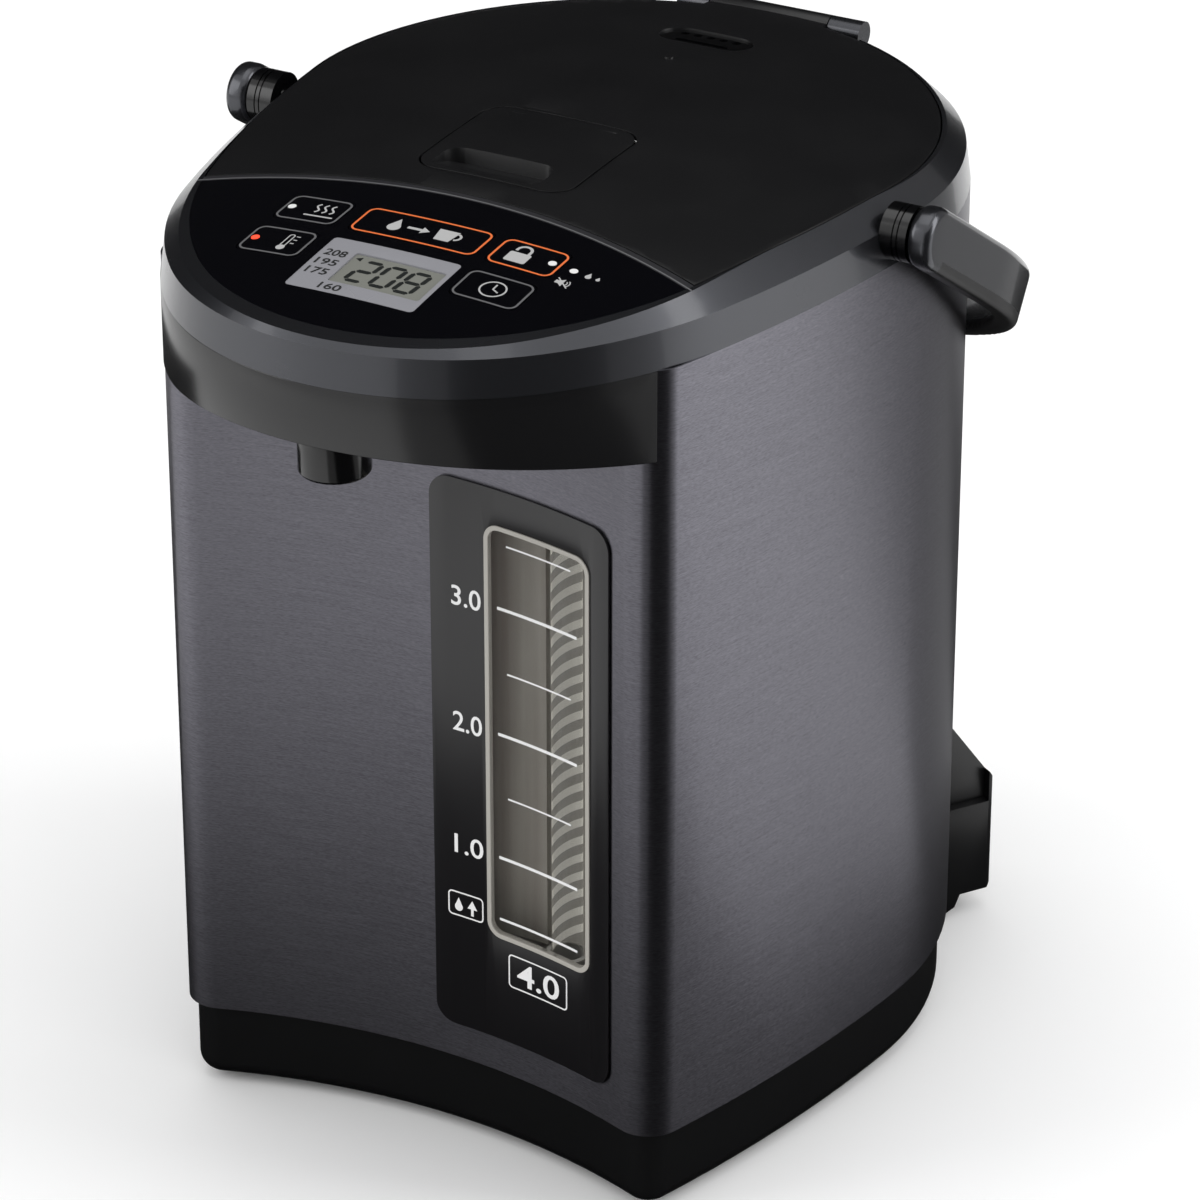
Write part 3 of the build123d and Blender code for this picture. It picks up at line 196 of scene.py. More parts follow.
def plated(name, colour, roughness):
    """Polished or satin metal, with a faint haze from handling in patches of about 11 mm."""
    patches_per_metre = 90.0
    material, tree, shader = start_material(name, colour, roughness, 1.0)
    haze = add(tree, "ShaderNodeTexNoise", {"Vector": object_coordinates(tree),
                                            "Scale": patches_per_metre, "Detail": 3.0})
    gloss = add(tree, "ShaderNodeMapRange", {"Value": haze.outputs[0], "To Min": roughness * 0.8,
                                             "To Max": roughness * 1.3})
    tree.links.new(gloss.outputs[0], shader.inputs["Roughness"])
    return material


def clear_plastic(name, colour, alpha, roughness):
    """Thin clear sheet, seen through rather than refracting.

    Faint moulding waves run up it, 4 mm wide and 80 mm long.
    """
    waves_per_metre = (240.0, 240.0, 12.0)
    material, tree, shader = start_material(name, colour, roughness, Alpha=alpha)
    waves = add(tree, "ShaderNodeTexNoise", {"Vector": object_coordinates(tree, waves_per_metre),
                                             "Scale": 1.0, "Detail": 2.0})
    bump(tree, shader, waves.outputs[0], 0.15, 0.02 * MM)
    return material


def painted_glow_tube_ink(name, colour, glow):
    """Ink fired on the back of the gauge tube, with a painted glow: emission that brightens it though it
    is no lamp.
    """
    return moulded(name, colour, 0.5, 0.4, 0.01, Emission_Color=linear(colour), Emission_Strength=glow)


def gauge_card():
    """Warm grey polystyrene strip behind the gauge tube, with faint drag lines 7 mm wide up it."""
    lines_per_metre = (150.0, 150.0, 4.0)
    material, tree, shader = start_material("polystyrene_gauge_card", "#7d7972", 0.55)
    drag = add(tree, "ShaderNodeTexNoise", {"Vector": object_coordinates(tree, lines_per_metre),
                                            "Scale": 1.0, "Detail": 2.0})
    tint = add(tree, "ShaderNodeValToRGB", {"Fac": drag.outputs[0]})
    tint.color_ramp.elements[0].position = 0.35
    tint.color_ramp.elements[0].color = linear("#736b64")
    tint.color_ramp.elements[1].position = 0.65
    tint.color_ramp.elements[1].color = linear("#8b8880")
    tree.links.new(tint.outputs[0], shader.inputs["Base Color"])
    return material


def lamp_lenses():
    """Frosted polycarbonate lenses; the one at the temperature key is lit red."""
    material, tree, shader = start_material("polycarbonate_frosted", LENS_FROST, 0.35)
    place = add(tree, "ShaderNodeTexCoord")
    split = add(tree, "ShaderNodeSeparateXYZ", {0: place.outputs["Object"]})
    left = add(tree, "ShaderNodeMath", {0: split.outputs[0], 1: LIT_LAMP_X * MM},
               operation="LESS_THAN")
    front = add(tree, "ShaderNodeMath", {0: split.outputs[1], 1: LIT_LAMP_Y * MM},
                operation="LESS_THAN")
    lit = add(tree, "ShaderNodeMath", {0: left.outputs[0], 1: front.outputs[0]}, operation="MULTIPLY")
    tint = add(tree, "ShaderNodeValToRGB", {"Fac": lit.outputs[0]})
    tint.color_ramp.elements[0].color = linear(LENS_FROST)
    tint.color_ramp.elements[1].color = linear(LENS_RED)
    tree.links.new(tint.outputs[0], shader.inputs["Base Color"])
    shader.inputs["Emission Color"].default_value = linear(LENS_RED)
    glow = add(tree, "ShaderNodeMath", {0: lit.outputs[0], 1: 0.9}, operation="MULTIPLY")
    tree.links.new(glow.outputs[0], shader.inputs["Emission Strength"])
    return material


def circuit_laminate():
    """Glass epoxy under green solder mask; copper tracks show as paler lines, 4 by 8 mm apart."""
    material, tree, shader = start_material("glass_epoxy_laminate", "#1d4a2c", 0.4)
    tracks = add(tree, "ShaderNodeTexBrick", {
        "Vector": object_coordinates(tree), "Color1": linear("#1b4428"), "Color2": linear("#20502f"),
        "Mortar": linear("#3c7a4a"), "Scale": 60.0, "Mortar Size": 0.03})
    tree.links.new(tracks.outputs[0], shader.inputs["Base Color"])
    return material


# Smoke metallic ABS: metal flake under clear lacquer, so it mirrors softly and darkly.
SMOKE = moulded("abs_smoke_metallic_lacquered", "#414246", 0.26, metallic=0.85, Coat_Weight=0.4,
                Coat_Roughness=0.08)
BRUSHED = brushed_steel()
# Polished black ABS and acrylic: deep colour under sharp highlights.
GLOSS = moulded("abs_black_polished", "#050506", 0.16)
PANEL_BLACK = moulded("acrylic_black_polished", "#050508", 0.1)
BEAK = moulded("abs_black_gloss_moulded", "#111112", 0.2)
# Spark-eroded ABS: a fine grain that breaks reflections into a soft sheen.
GRAIN = moulded("abs_black_grained", "#060608", 0.42, 0.5, 0.04)
SATIN_BLACK = moulded("abs_black_satin", "#0f0f10", 0.32, 0.6, 0.008)
BASE = moulded("polypropylene_black", "#0d0d0e", 0.3, 0.8, 0.01)
GAUGE_BLACK = moulded("acrylic_black_gauge_plate", "#121113", 0.3, 1.2, 0.004)
GAUGE_FRAME = moulded("abs_warm_grey", "#a5a29b", 0.35, 0.6, 0.006)
# Screen inks: thin, even, slightly chalky.
INK_WHITE = moulded("screen_ink_white", "#dedede", 0.5, 0.3, 0.004)
INK_GREY = moulded("screen_ink_silver_grey", "#a9a9a9", 0.45, 0.3, 0.004)
INK_DARK = moulded("screen_ink_dark_grey", "#5a5a5c", 0.5, 0.3, 0.004)
INK_ORANGE = moulded("screen_ink_orange", "#dd6a2e", 0.45, 0.3, 0.004)
INK_BLACK = moulded("screen_ink_black", "#1c1d1d", 0.5, 0.3, 0.004)
# Liquid crystal: dark segments that float under the glass.
SEGMENTS = moulded("liquid_crystal_segment", "#1a1d1c", 0.4, 0.3, 0.002)
LCD_PLATE = moulded("acrylic_silver_backed", "#85858a", 0.28, 0.4, 0.004)
LCD_CELL = moulded("liquid_crystal_cell", "#74756f", 0.3, 0.3, 0.002)
# Bright stainless mirrors sharply, satin stainless softly, and cast aluminium is dull.
STEEL = plated("stainless_bright", "#b8b8b8", 0.22)
STEEL_SATIN = plated("stainless_satin", "#9c9c9c", 0.38)
ALLOY = plated("aluminium_cast", "#8d8d8d", 0.55)
# Rubber is matt and dark, silicone milky, and the inner plastics plain and softly glossy.
RUBBER = moulded("rubber_black", "#1a1a1a", 0.75, 0.8, 0.03)
SILICONE = moulded("silicone_translucent", "#c9c8c2", 0.5, 1.2, 0.02)
INNER = moulded("polypropylene_grey", "#8b8b88", 0.45, 0.5, 0.01)
DECK = moulded("polypropylene_dark_grey", "#242427", 0.4, 0.5, 0.01)
# Pressed fibre: rough, with no highlight.
FELT = moulded("pressed_fibre_insulation", "#a49c88", 0.95, 1.5, 0.4)
# Clear and smoked sheet: almost nothing but their highlights and a faint tint.
CLEAR = clear_plastic("polycarbonate_clear", "#dfe2e2", 0.03, 0.08)
SMOKED = clear_plastic("polycarbonate_smoked", "#6a6660", 0.07, 0.14)
# Both tube inks carry a painted glow: emission that brightens them though they are no lamp.
TUBE_INK_PAINTED_GLOW = painted_glow_tube_ink("ceramic_ink_white_painted_glow", "#e9e6dc", 0.28)
TUBE_GROUND_PAINTED_GLOW = painted_glow_tube_ink("ceramic_ink_grey_painted_glow", "#8a8780", 0.36)
CARD = gauge_card()
LENSES = lamp_lenses()
BOARD = circuit_laminate()

# Material, width in millimetres of the eased edges, nodes.
FINISHES = [
    (BRUSHED, 0.0, ["outer_shell"]),
    (SMOKE, 0.0, ["top_ring"]),
    (SMOKE, 0.0, ["handle_shell"]),
    (BEAK, 0.5, ["beak_cover"]),
    (GLOSS, 0.0, ["handle_bushes"]),
    (GLOSS, 0.2, ["spout_nozzle"]),
    (SATIN_BLACK, 0.2, ["beak_underside"]),
    (PANEL_BLACK, 0.0, ["control_panel", "key_reboil", "key_temperature", "key_dispense",
                         "key_unlock", "key_timer"]),
    (GRAIN, 0.3, ["lid_cover", "lid_lever"]),
    (SATIN_BLACK, 0.0, ["latch_hook", "handle_underside", "key_switches"]),
    (SATIN_BLACK, 0.4, ["plug_receptacle"]),
    (GLOSS, 0.3, ["steam_vent_cap"]),
    (BASE, 0.0, ["base_housing", "bottom_cover"]),
    (GAUGE_BLACK, 0.3, ["gauge_panel"]),
    (GAUGE_FRAME, 0.2, ["gauge_rim"]),
    (LCD_PLATE, 0.2, ["lcd_bezel"]),
    (LCD_CELL, 0.0, ["lcd_module"]),
    (CLEAR, 0.0, ["lcd_window", "gauge_tube"]),
    (SMOKED, 0.0, ["gauge_window"]),
    (CARD, 0.0, ["gauge_backing"]),
    (STEEL, 0.0, ["hinge_pin", "lever_pin", "handle_pins", "bottom_screws", "receptacle_pins"]),
    (STEEL_SATIN, 0.0, ["inner_container", "inner_lid", "container_stand", "pump_motor",
                        "motor_rotor"]),
    (ALLOY, 0.0, ["heater_plate", "thermostat"]),
    (RUBBER, 0.0, ["rubber_feet", "wiring_harness"]),
    (SILICONE, 0.0, ["container_seal", "lid_gasket", "gauge_tube_seals", "pump_inlet_pipe",
                     "riser_pipe", "spout_pipe", "gauge_feed_pipe"]),
    (INNER, 0.0, ["control_tray", "pump_housing", "pump_impeller"]),
    (DECK, 0.0, ["shoulder_deck", "lid_base"]),
    (BOARD, 0.0, ["control_board", "power_board"]),
    (FELT, 0.0, ["insulation_wrap"]),
    (LENSES, 0.0, ["led_lenses"]),
]
# Millimetres between points that are welded, and the angle past which an edge stays crisp.
WELD_DISTANCE = 0.002
CRISP_ANGLE = math.radians(30.0)
SEEN_THROUGH = ("lcd_window", "gauge_window", "gauge_tube")


def set_material(piece, material):
    """Gives a piece one material."""
    piece.data.materials.clear()
    piece.data.materials.append(material)


def smooth(piece, bevel_mm):
    """Smooth faces with crisp edges, and a small bevel where the real edge is eased."""
    for face in piece.data.polygons:
        face.use_smooth = True
    weld = piece.modifiers.new("weld", "WELD")
    weld.merge_threshold = WELD_DISTANCE * MM
    if bevel_mm:
        ease = piece.modifiers.new("ease", "BEVEL")
        ease.width = bevel_mm * MM
        ease.segments = 2
        ease.limit_method = "ANGLE"
        ease.angle_limit = CRISP_ANGLE
    split = piece.modifiers.new("crisp", "EDGE_SPLIT")
    split.split_angle = CRISP_ANGLE


for material, bevel_mm, names in FINISHES:
    for name in names:
        set_material(nodes[name], material)
        smooth(nodes[name], bevel_mm)
# Clear pieces cast no shadow, so that light reaches what lies behind them.
for name in SEEN_THROUGH:
    nodes[name].visible_shadow = False
missing = set(nodes) - {name for _, _, names in FINISHES for name in names}
if missing:
    raise RuntimeError(f"nodes without a finish: {sorted(missing)}")


# ---------------------------------------------------------------- flat shapes for printing
LOOP_STEP = 1.5


def band(points, width, closed=False):
    """Faces of a printed line of one width along points."""
    count = len(points)
    rims = []
    for index, (x, y) in enumerate(points):
        before = points[index - 1] if closed or index else points[index]
        after = points[(index + 1) % count] if closed or index < count - 1 else points[index]
        length = math.dist(before, after)
        across_x = -(after[1] - before[1]) / length * width / 2
        across_y = (after[0] - before[0]) / length * width / 2
        rims.append(((x + across_x, y + across_y), (x - across_x, y - across_y)))
    faces = []
    for index in range(count if closed else count - 1):
        (a, b), (c, d) = rims[index], rims[(index + 1) % count]
        faces.append([b, d, c, a])
    return faces


def arc(x, y, radius, start, end, steps):
    """Points on an arc; its start and end are in degrees."""
    angles = [math.radians(start + (end - start) * step / steps) for step in range(steps + 1)]
    return [(x + radius * math.cos(a), y + radius * math.sin(a)) for a in angles]


def sheet(left, right, low, high, count):
    """Faces of a rectangle in upright strips, so that it can follow a curve."""
    width = (right - left) / count
    edges = [left + strip * width for strip in range(count + 1)]
    return [[(a, low), (b, low), (b, high), (a, high)] for a, b in zip(edges, edges[1:])]


def rounded_loop(x, y, width, depth, corner):
    """Closed loop of points round a rounded rectangle about x, y, with steps near LOOP_STEP or less."""
    loop = []
    half_w, half_d = width / 2 - corner, depth / 2 - corner
    for turn, (sx, sy) in enumerate(((1, -1), (1, 1), (-1, 1), (-1, -1))):
        loop += arc(x + sx * half_w, y + sy * half_d, corner, turn * 90.0 - 90.0, turn * 90.0, 6)
    dense = []
    for first, second in zip(loop, loop[1:] + loop[:1]):
        parts = max(1, round(math.dist(first, second) / LOOP_STEP))
        dense += [(first[0] + (second[0] - first[0]) * part / parts,
                   first[1] + (second[1] - first[1]) * part / parts) for part in range(parts)]
    return dense


def lettering(text, x, y, width, height, weight):
    """Faces of numerals, made bolder by a weight, that fill a box up and right of x, y."""
    curve = bpy.data.curves.new("numerals", "FONT")
    curve.body = text
    curve.offset = weight
    curve.resolution_u = 4
    holder = bpy.data.objects.new("numerals", curve)
    scene.collection.objects.link(holder)
    ready = holder.evaluated_get(bpy.context.evaluated_depsgraph_get())
    mesh = bpy.data.meshes.new_from_object(ready)
    flat = [(corner.co.x, corner.co.y) for corner in mesh.vertices]
    left, low = min(u for u, _ in flat), min(v for _, v in flat)
    scale_x = width / (max(u for u, _ in flat) - left)
    scale_y = height / (max(v for _, v in flat) - low)
    faces = [[(x + (flat[i][0] - left) * scale_x, y + (flat[i][1] - low) * scale_y)
              for i in face.vertices] for face in mesh.polygons]
    bpy.data.objects.remove(holder)
    bpy.data.meshes.remove(mesh)
    return faces


def printed(name, body, faces, place, ink, lift=INK_LIFT):
    """Layer of ink on a surface; place turns a flat point and a lift into metres.

    Points that agree to a thousandth of a millimetre are one corner of the mesh.
    """
    corners, polygons, known = [], [], {}
    for face in faces:
        area = sum(a[0] * b[1] - b[0] * a[1] for a, b in zip(face, face[1:] + face[:1]))
        ring = []
        for u, v in (face if area > 0 else face[::-1]):
            key = (round(u, 3), round(v, 3))
            if key not in known:
                known[key] = len(corners)
                corners.append(place(u, v, lift))
            if known[key] not in ring:
                ring.append(known[key])
        if len(ring) > 2:
            polygons.append(ring)
    mesh = bpy.data.meshes.new(name)
    mesh.from_pydata(corners, [], polygons)
    piece = bpy.data.objects.new(name, mesh)
    scene.collection.objects.link(piece)
    layer = piece.modifiers.new("layer", "SOLIDIFY")
    layer.thickness = INK_THICKNESS * MM
    layer.offset = 1.0
    set_material(piece, ink)
    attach(piece, body)
    return piece


def drop(x, y, radius):
    """Water drop: a round foot drawn up to a point."""
    return [arc(x, y, radius, -220.0, 40.0, 20) + [(x, y + 2.3 * radius)]]


def cup(x, y, size):
    """Cup seen from the side, with its handle."""
    body = [[(x - 0.5 * size, y + 0.45 * size), (x - 0.36 * size, y - 0.45 * size),
             (x + 0.36 * size, y - 0.45 * size), (x + 0.5 * size, y + 0.45 * size)]]
    return body + band(arc(x + 0.45 * size, y + 0.05 * size, 0.26 * size, -80.0, 80.0, 10),
                       0.11 * size)


def arrow(x, y, length, size):
    """Arrow to the right that starts at x."""
    shaft = band([(x, y), (x + length - 0.6 * size, y)], 0.32 * size)
    tip = x + length
    return shaft + [[(tip - 0.75 * size, y - 0.5 * size), (tip, y), (tip - 0.75 * size, y + 0.5 * size)]]


def steaming_water(x, y):
    """Three rising wisps over a line of water; x, y is the middle of its key."""
    count, height, width, low = 14, 4.6, 1.5, y - 1.2
    faces = []
    for foot in (x + 0.6, x + 3.0, x + 5.4):
        wisp = [(foot + 0.5 * width * math.sin(2 * math.pi * step / count),
                 low + height * step / count) for step in range(count + 1)]
        faces += band(wisp, 0.55)
    return faces + band([(x - 1.6, y - 3.2), (x + 7.6, y - 3.2)], 0.6)


def thermometer(x, y, height):
    """Bulb and stem with three marks."""
    bulb = [arc(x, y - 0.5 * height + 1.3, 1.3, 0.0, 342.0, 19)]
    stem = band(rounded_loop(x, y + 0.7, 1.5, height - 1.6, 0.74), 0.35, True)
    marks = []
    for step in range(3):
        level = y + 0.22 * height * (step - 0.6) + 0.8
        marks += band([(x + 1.5, level), (x + 2.7, level)], 0.35)
    return bulb + stem + marks


def padlock(x, y, size):
    """Open padlock."""
    body = [rounded_loop(x, y - 0.18 * size, 0.78 * size, 0.6 * size, 0.08 * size)]
    shackle = [(x + 0.25 * size, y + 0.1 * size)] + arc(x, y + 0.3 * size, 0.25 * size, 0.0, 180.0, 12)
    return body + band(shackle + [(x - 0.25 * size, y + 0.22 * size)], 0.1 * size)


def clock(x, y, radius):
    """Dial with two hands."""
    dial = band(arc(x, y, radius, 0.0, 348.0, 29), 0.5, True)
    return dial + band([(x, y - 0.1), (x, y + 0.68 * radius)], 0.45) + band(
        [(x, y), (x + 0.55 * radius, y - 0.3 * radius)], 0.45)


def up_arrow(x, y):
    """Arrow up from a foot at x, y."""
    neck, tip, half_width = y + 2.2, y + 5.0, 1.7
    head = [[(x - half_width, neck), (x + half_width, neck), (x, tip)]]
    return band([(x, y), (x, neck)], 0.9) + head


def muted_speaker(x, y, size):
    """Loudspeaker with a bar across it."""
    horn = [[(x - 0.5 * size, y - 0.17 * size), (x - 0.25 * size, y - 0.17 * size),
             (x + 0.05 * size, y - 0.42 * size), (x + 0.05 * size, y + 0.42 * size),
             (x - 0.25 * size, y + 0.17 * size), (x - 0.5 * size, y + 0.17 * size)]]
    waves = band(arc(x, y, 0.3 * size, -45.0, 45.0, 8), 0.07 * size)
    waves += band(arc(x, y, 0.48 * size, -45.0, 45.0, 8), 0.07 * size)
    return horn + waves + band([(x - 0.5 * size, y + 0.45 * size), (x + 0.5 * size, y - 0.45 * size)],
                               0.09 * size)


def digit(number, x, y, width, height):
    """Leaning seven-segment numeral whose lower left corner is x, y."""
    lit = {"0": "abcdef", "2": "abged", "8": "abcdefg"}[number]
    half = height / 2
    gap, stroke, slant = 0.25, 1.35, 0.12
    ends = {"a": ((0, height), (width, height)), "b": ((width, height), (width, half)),
            "c": ((width, half), (width, 0)), "d": ((0, 0), (width, 0)),
            "e": ((0, half), (0, 0)), "f": ((0, height), (0, half)),
            "g": ((0, half), (width, half))}
    faces = []
    for segment in lit:
        (u0, v0), (u1, v1) = ends[segment]
        length = math.dist((u0, v0), (u1, v1))
        du, dv = (u1 - u0) / length, (v1 - v0) / length
        reach = stroke / 2
        hexagon = []
        for along, across in ((gap, 0), (gap + reach, reach), (length - gap - reach, reach),
                              (length - gap, 0), (length - gap - reach, -reach), (gap + reach, -reach)):
            u = u0 + along * du - across * dv
            v = v0 + along * dv + across * du
            hexagon.append((x + u + slant * v, y + v))
        faces.append(hexagon)
    return faces


# ---------------------------------------------------------------- keys
ROW_BACK, ROW_FRONT = -107.2, -126.3
COLUMN_LEFT, COLUMN_MIDDLE, COLUMN_RIGHT = -34.6, 0.0, 33.7
WIDTH_LEFT, WIDTH_MIDDLE, WIDTH_RIGHT = 20.0, 40.4, 21.0
KEY_DEPTH = 14.4
OUTLINE_WIDTH = 0.6
OUTLINE_INSET = 0.75
OUTLINE_CORNER = 2.4
# body: centre x and y, width, ink of its outline
KEYS = {
    "key_reboil": (COLUMN_LEFT, ROW_BACK, WIDTH_LEFT, INK_DARK),
    "key_temperature": (COLUMN_LEFT, ROW_FRONT, WIDTH_LEFT, INK_DARK),
    "key_dispense": (COLUMN_MIDDLE, ROW_BACK, WIDTH_MIDDLE, INK_ORANGE),
    "key_unlock": (COLUMN_RIGHT, ROW_BACK, WIDTH_RIGHT, INK_ORANGE),
    "key_timer": (COLUMN_RIGHT, ROW_FRONT, WIDTH_RIGHT, INK_DARK),
}
for body, (x, y, width, ink) in KEYS.items():
    outline = rounded_loop(x, y, width - 2 * OUTLINE_INSET, KEY_DEPTH - 2 * OUTLINE_INSET,
                           OUTLINE_CORNER)
    printed(body + "_outline", body, band(outline, OUTLINE_WIDTH, True), on_crown, ink)

SIGNS = {
    "key_reboil": steaming_water(COLUMN_LEFT, ROW_BACK),
    "key_temperature": thermometer(COLUMN_LEFT + 2.6, ROW_FRONT, 8.6),
    "key_dispense": (drop(COLUMN_MIDDLE - 8.2, ROW_BACK - 1.2, 2.0)
                     + arrow(COLUMN_MIDDLE - 4.4, ROW_BACK, 7.0, 3.4)
                     + cup(COLUMN_MIDDLE + 7.6, ROW_BACK, 6.4)),
    "key_unlock": padlock(COLUMN_RIGHT - 2.6, ROW_BACK, 8.4),
    "key_timer": clock(COLUMN_RIGHT, ROW_FRONT, 3.7),
}
for body, faces in SIGNS.items():
    printed(body + "_sign", body, faces, on_crown, INK_GREY)

# Signs on the fixed panel, right of the back row of keys.
SLOW_POUR_X, SLOW_POUR_Y = COLUMN_RIGHT + 19.0, ROW_BACK - 0.8
MUTE_X, MUTE_Y = COLUMN_RIGHT + 14.6, ROW_BACK - 7.0
printed("slow_pour_sign", "root",
        drop(SLOW_POUR_X, SLOW_POUR_Y, 0.9) + drop(SLOW_POUR_X + 3.0, SLOW_POUR_Y, 0.6), on_crown,
        INK_GREY)
printed("mute_sign", "root", muted_speaker(MUTE_X, MUTE_Y, 4.4), on_crown, INK_GREY)

# ---------------------------------------------------------------- display
DISPLAY_X, DISPLAY_Y = 4.4, -132.8
CELL_WIDTH, CELL_DEPTH = 28.4, 15.4
CELL_STRIPS = 16
CELL_LIFT, SEGMENT_LIFT = -0.46, -0.4
NUMERAL_WIDTH, NUMERAL_HEIGHT, NUMERAL_PITCH = 5.2, 10.4, 7.6
NUMERALS_LEFT = DISPLAY_X - 10.6
# The cell lies just over the window and not under it, where the recess would hide it.
cell = sheet(DISPLAY_X - CELL_WIDTH / 2, DISPLAY_X + CELL_WIDTH / 2,
             DISPLAY_Y - CELL_DEPTH / 2, DISPLAY_Y + CELL_DEPTH / 2, CELL_STRIPS)
printed("display_cell", "root", cell, on_crown, LCD_CELL, CELL_LIFT)

# Temperatures beside the display: number, and its height over the display's middle.
SCALE_LEVELS = {"208": 5.6, "195": 0.6, "175": -4.4}
SCALE_LEFT, SCALE_WIDTH, SCALE_HEIGHT, SCALE_WEIGHT = -18.6, 6.8, 3.2, 0.012
LOWEST_LEFT, LOWEST_Y, LOWEST_HEIGHT = -10.6, DISPLAY_Y - 12.2, 3.0
POINTER_TIP, POINTER_BACK, POINTER_HALF = DISPLAY_X - 13.2, DISPLAY_X - 11.4, 1.0
pointer_y = DISPLAY_Y + SCALE_LEVELS["208"]
numerals = []
for place, number in enumerate("208"):
    numerals += digit(number, NUMERALS_LEFT + place * NUMERAL_PITCH, DISPLAY_Y - NUMERAL_HEIGHT / 2,
                      NUMERAL_WIDTH, NUMERAL_HEIGHT)
numerals.append([(POINTER_TIP, pointer_y), (POINTER_BACK, pointer_y - POINTER_HALF),
                 (POINTER_BACK, pointer_y + POINTER_HALF)])
printed("display_numerals", "root", numerals, on_crown, SEGMENTS, SEGMENT_LIFT)
scale = []
for text, level in SCALE_LEVELS.items():
    scale += lettering(text, SCALE_LEFT, DISPLAY_Y + level - SCALE_HEIGHT / 2, SCALE_WIDTH,
                       SCALE_HEIGHT, SCALE_WEIGHT)
scale += lettering("160", LOWEST_LEFT, LOWEST_Y, SCALE_WIDTH, LOWEST_HEIGHT, SCALE_WEIGHT)
printed("display_scale", "root", scale, on_crown, INK_BLACK)

# ---------------------------------------------------------------- trim
# Thin grey line along the back edge of the fixed head; its angles are in degrees.
SPLIT_CENTRE = SPLIT_MIDDLE - SPLIT_RADIUS
TRIM_INSET = 2.4
TRIM_HALF_ANGLE = 17.9
TRIM_STEPS = 84
TRIM_WIDTH = 0.5
trim = arc(0.0, SPLIT_CENTRE, SPLIT_RADIUS - TRIM_INSET, 90.0 - TRIM_HALF_ANGLE,
           90.0 + TRIM_HALF_ANGLE, TRIM_STEPS)
printed("split_trim", "root", band(trim, TRIM_WIDTH), on_crown, INK_DARK)

# ---------------------------------------------------------------- litre scale
LITRE = 40.2
FIRST_LITRE = 100.9
REFILL_LEVEL = 80.5
LINE_POINTS = 15


def start_tree(name, sizes):
    """Tree with a count, named sizes and an ink; returns (tree, its sockets by name, its inputs)."""
    tree = bpy.data.node_groups.new(name, "GeometryNodeTree")
    kinds = {"Count": "NodeSocketInt"}
    for size in sizes:
        kinds[size] = "NodeSocketFloat"
    kinds["Ink"] = "NodeSocketMaterial"
    sockets = {}
    for label, kind in kinds.items():
        sockets[label] = tree.interface.new_socket(label, in_out="INPUT", socket_type=kind).identifier
    tree.interface.new_socket("Marks", in_out="OUTPUT", socket_type="NodeSocketGeometry")
    return tree, sockets, add(tree, "NodeGroupInput").outputs


def stack_marks(tree, given, mark):
    """Ends a tree: one mark, repeated upwards from the first level and inked."""
    start = add(tree, "ShaderNodeCombineXYZ", {"Z": given["First level"]})
    step = add(tree, "ShaderNodeCombineXYZ", {"Z": given["Pitch"]})
    levels = add(tree, "GeometryNodeMeshLine", {"Count": given["Count"],
                                                "Start Location": start.outputs[0],
                                                "Offset": step.outputs[0]})
    spread = add(tree, "GeometryNodeInstanceOnPoints", {"Points": levels.outputs[0], "Instance": mark})
    real = add(tree, "GeometryNodeRealizeInstances", {"Geometry": spread.outputs[0]})
    inked = add(tree, "GeometryNodeSetMaterial", {"Geometry": real.outputs[0],
                                                  "Material": given["Ink"]})
    add(tree, "NodeGroupOutput", {0: inked.outputs[0]})


def ruled_marks():
    """Tree: level lines bent to the window and repeated up it."""
    tree, sockets, given = start_tree("ruled_marks", ("Pitch", "First level", "Left", "Length", "Width",
                                                      "Hollow centre", "Hollow radius"))
    strip = add(tree, "GeometryNodeMeshGrid", {"Size X": given["Length"], "Size Y": given["Width"],
                                               "Vertices X": LINE_POINTS, "Vertices Y": 2})
    half = add(tree, "ShaderNodeMath", {0: given["Length"], 1: 0.5}, operation="MULTIPLY")
    middle = add(tree, "ShaderNodeMath", {0: given["Left"], 1: half.outputs[0]}, operation="ADD")
    shift = add(tree, "ShaderNodeCombineXYZ", {"X": middle.outputs[0]})
    stood = add(tree, "GeometryNodeTransform", {"Geometry": strip.outputs[0],
                                                "Translation": shift.outputs[0],
                                                "Rotation": (math.pi / 2, 0.0, 0.0)})
    here = add(tree, "ShaderNodeSeparateXYZ", {0: add(tree, "GeometryNodeInputPosition").outputs[0]})
    radius_squared = add(tree, "ShaderNodeMath", {0: given["Hollow radius"], 1: 2.0}, operation="POWER")
    x_squared = add(tree, "ShaderNodeMath", {0: here.outputs[0], 1: here.outputs[0]},
                    operation="MULTIPLY")
    difference = add(tree, "ShaderNodeMath", {0: radius_squared.outputs[0], 1: x_squared.outputs[0]},
                     operation="SUBTRACT")
    root = add(tree, "ShaderNodeMath", {0: difference.outputs[0]}, operation="SQRT")
    depth = add(tree, "ShaderNodeMath", {0: given["Hollow centre"], 1: root.outputs[0]},
                operation="ADD")
    bent = add(tree, "ShaderNodeCombineXYZ", {"X": here.outputs[0], "Y": depth.outputs[0],
                                              "Z": here.outputs[2]})
    mark = add(tree, "GeometryNodeSetPosition", {"Geometry": stood.outputs[0],
                                                 "Position": bent.outputs[0]})
    stack_marks(tree, given, mark.outputs[0])
    return tree, sockets


def grown(name, tree, sockets, values, body, thickness_mm):
    """Piece made by a tree from its values, turned into a plain mesh with a wall."""
    seed = bpy.data.objects.new(name, bpy.data.meshes.new(name))
    scene.collection.objects.link(seed)
    modifier = seed.modifiers.new("tree", "NODES")
    modifier.node_group = tree
    for key, value in values.items():
        modifier[sockets[key]] = value
    ready = seed.evaluated_get(bpy.context.evaluated_depsgraph_get())
    mesh = bpy.data.meshes.new_from_object(ready)
    seed.modifiers.remove(modifier)
    seed.data = mesh
    layer = seed.modifiers.new("layer", "SOLIDIFY")
    layer.thickness = thickness_mm * MM
    layer.offset = 1.0
    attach(seed, body)
    return seed


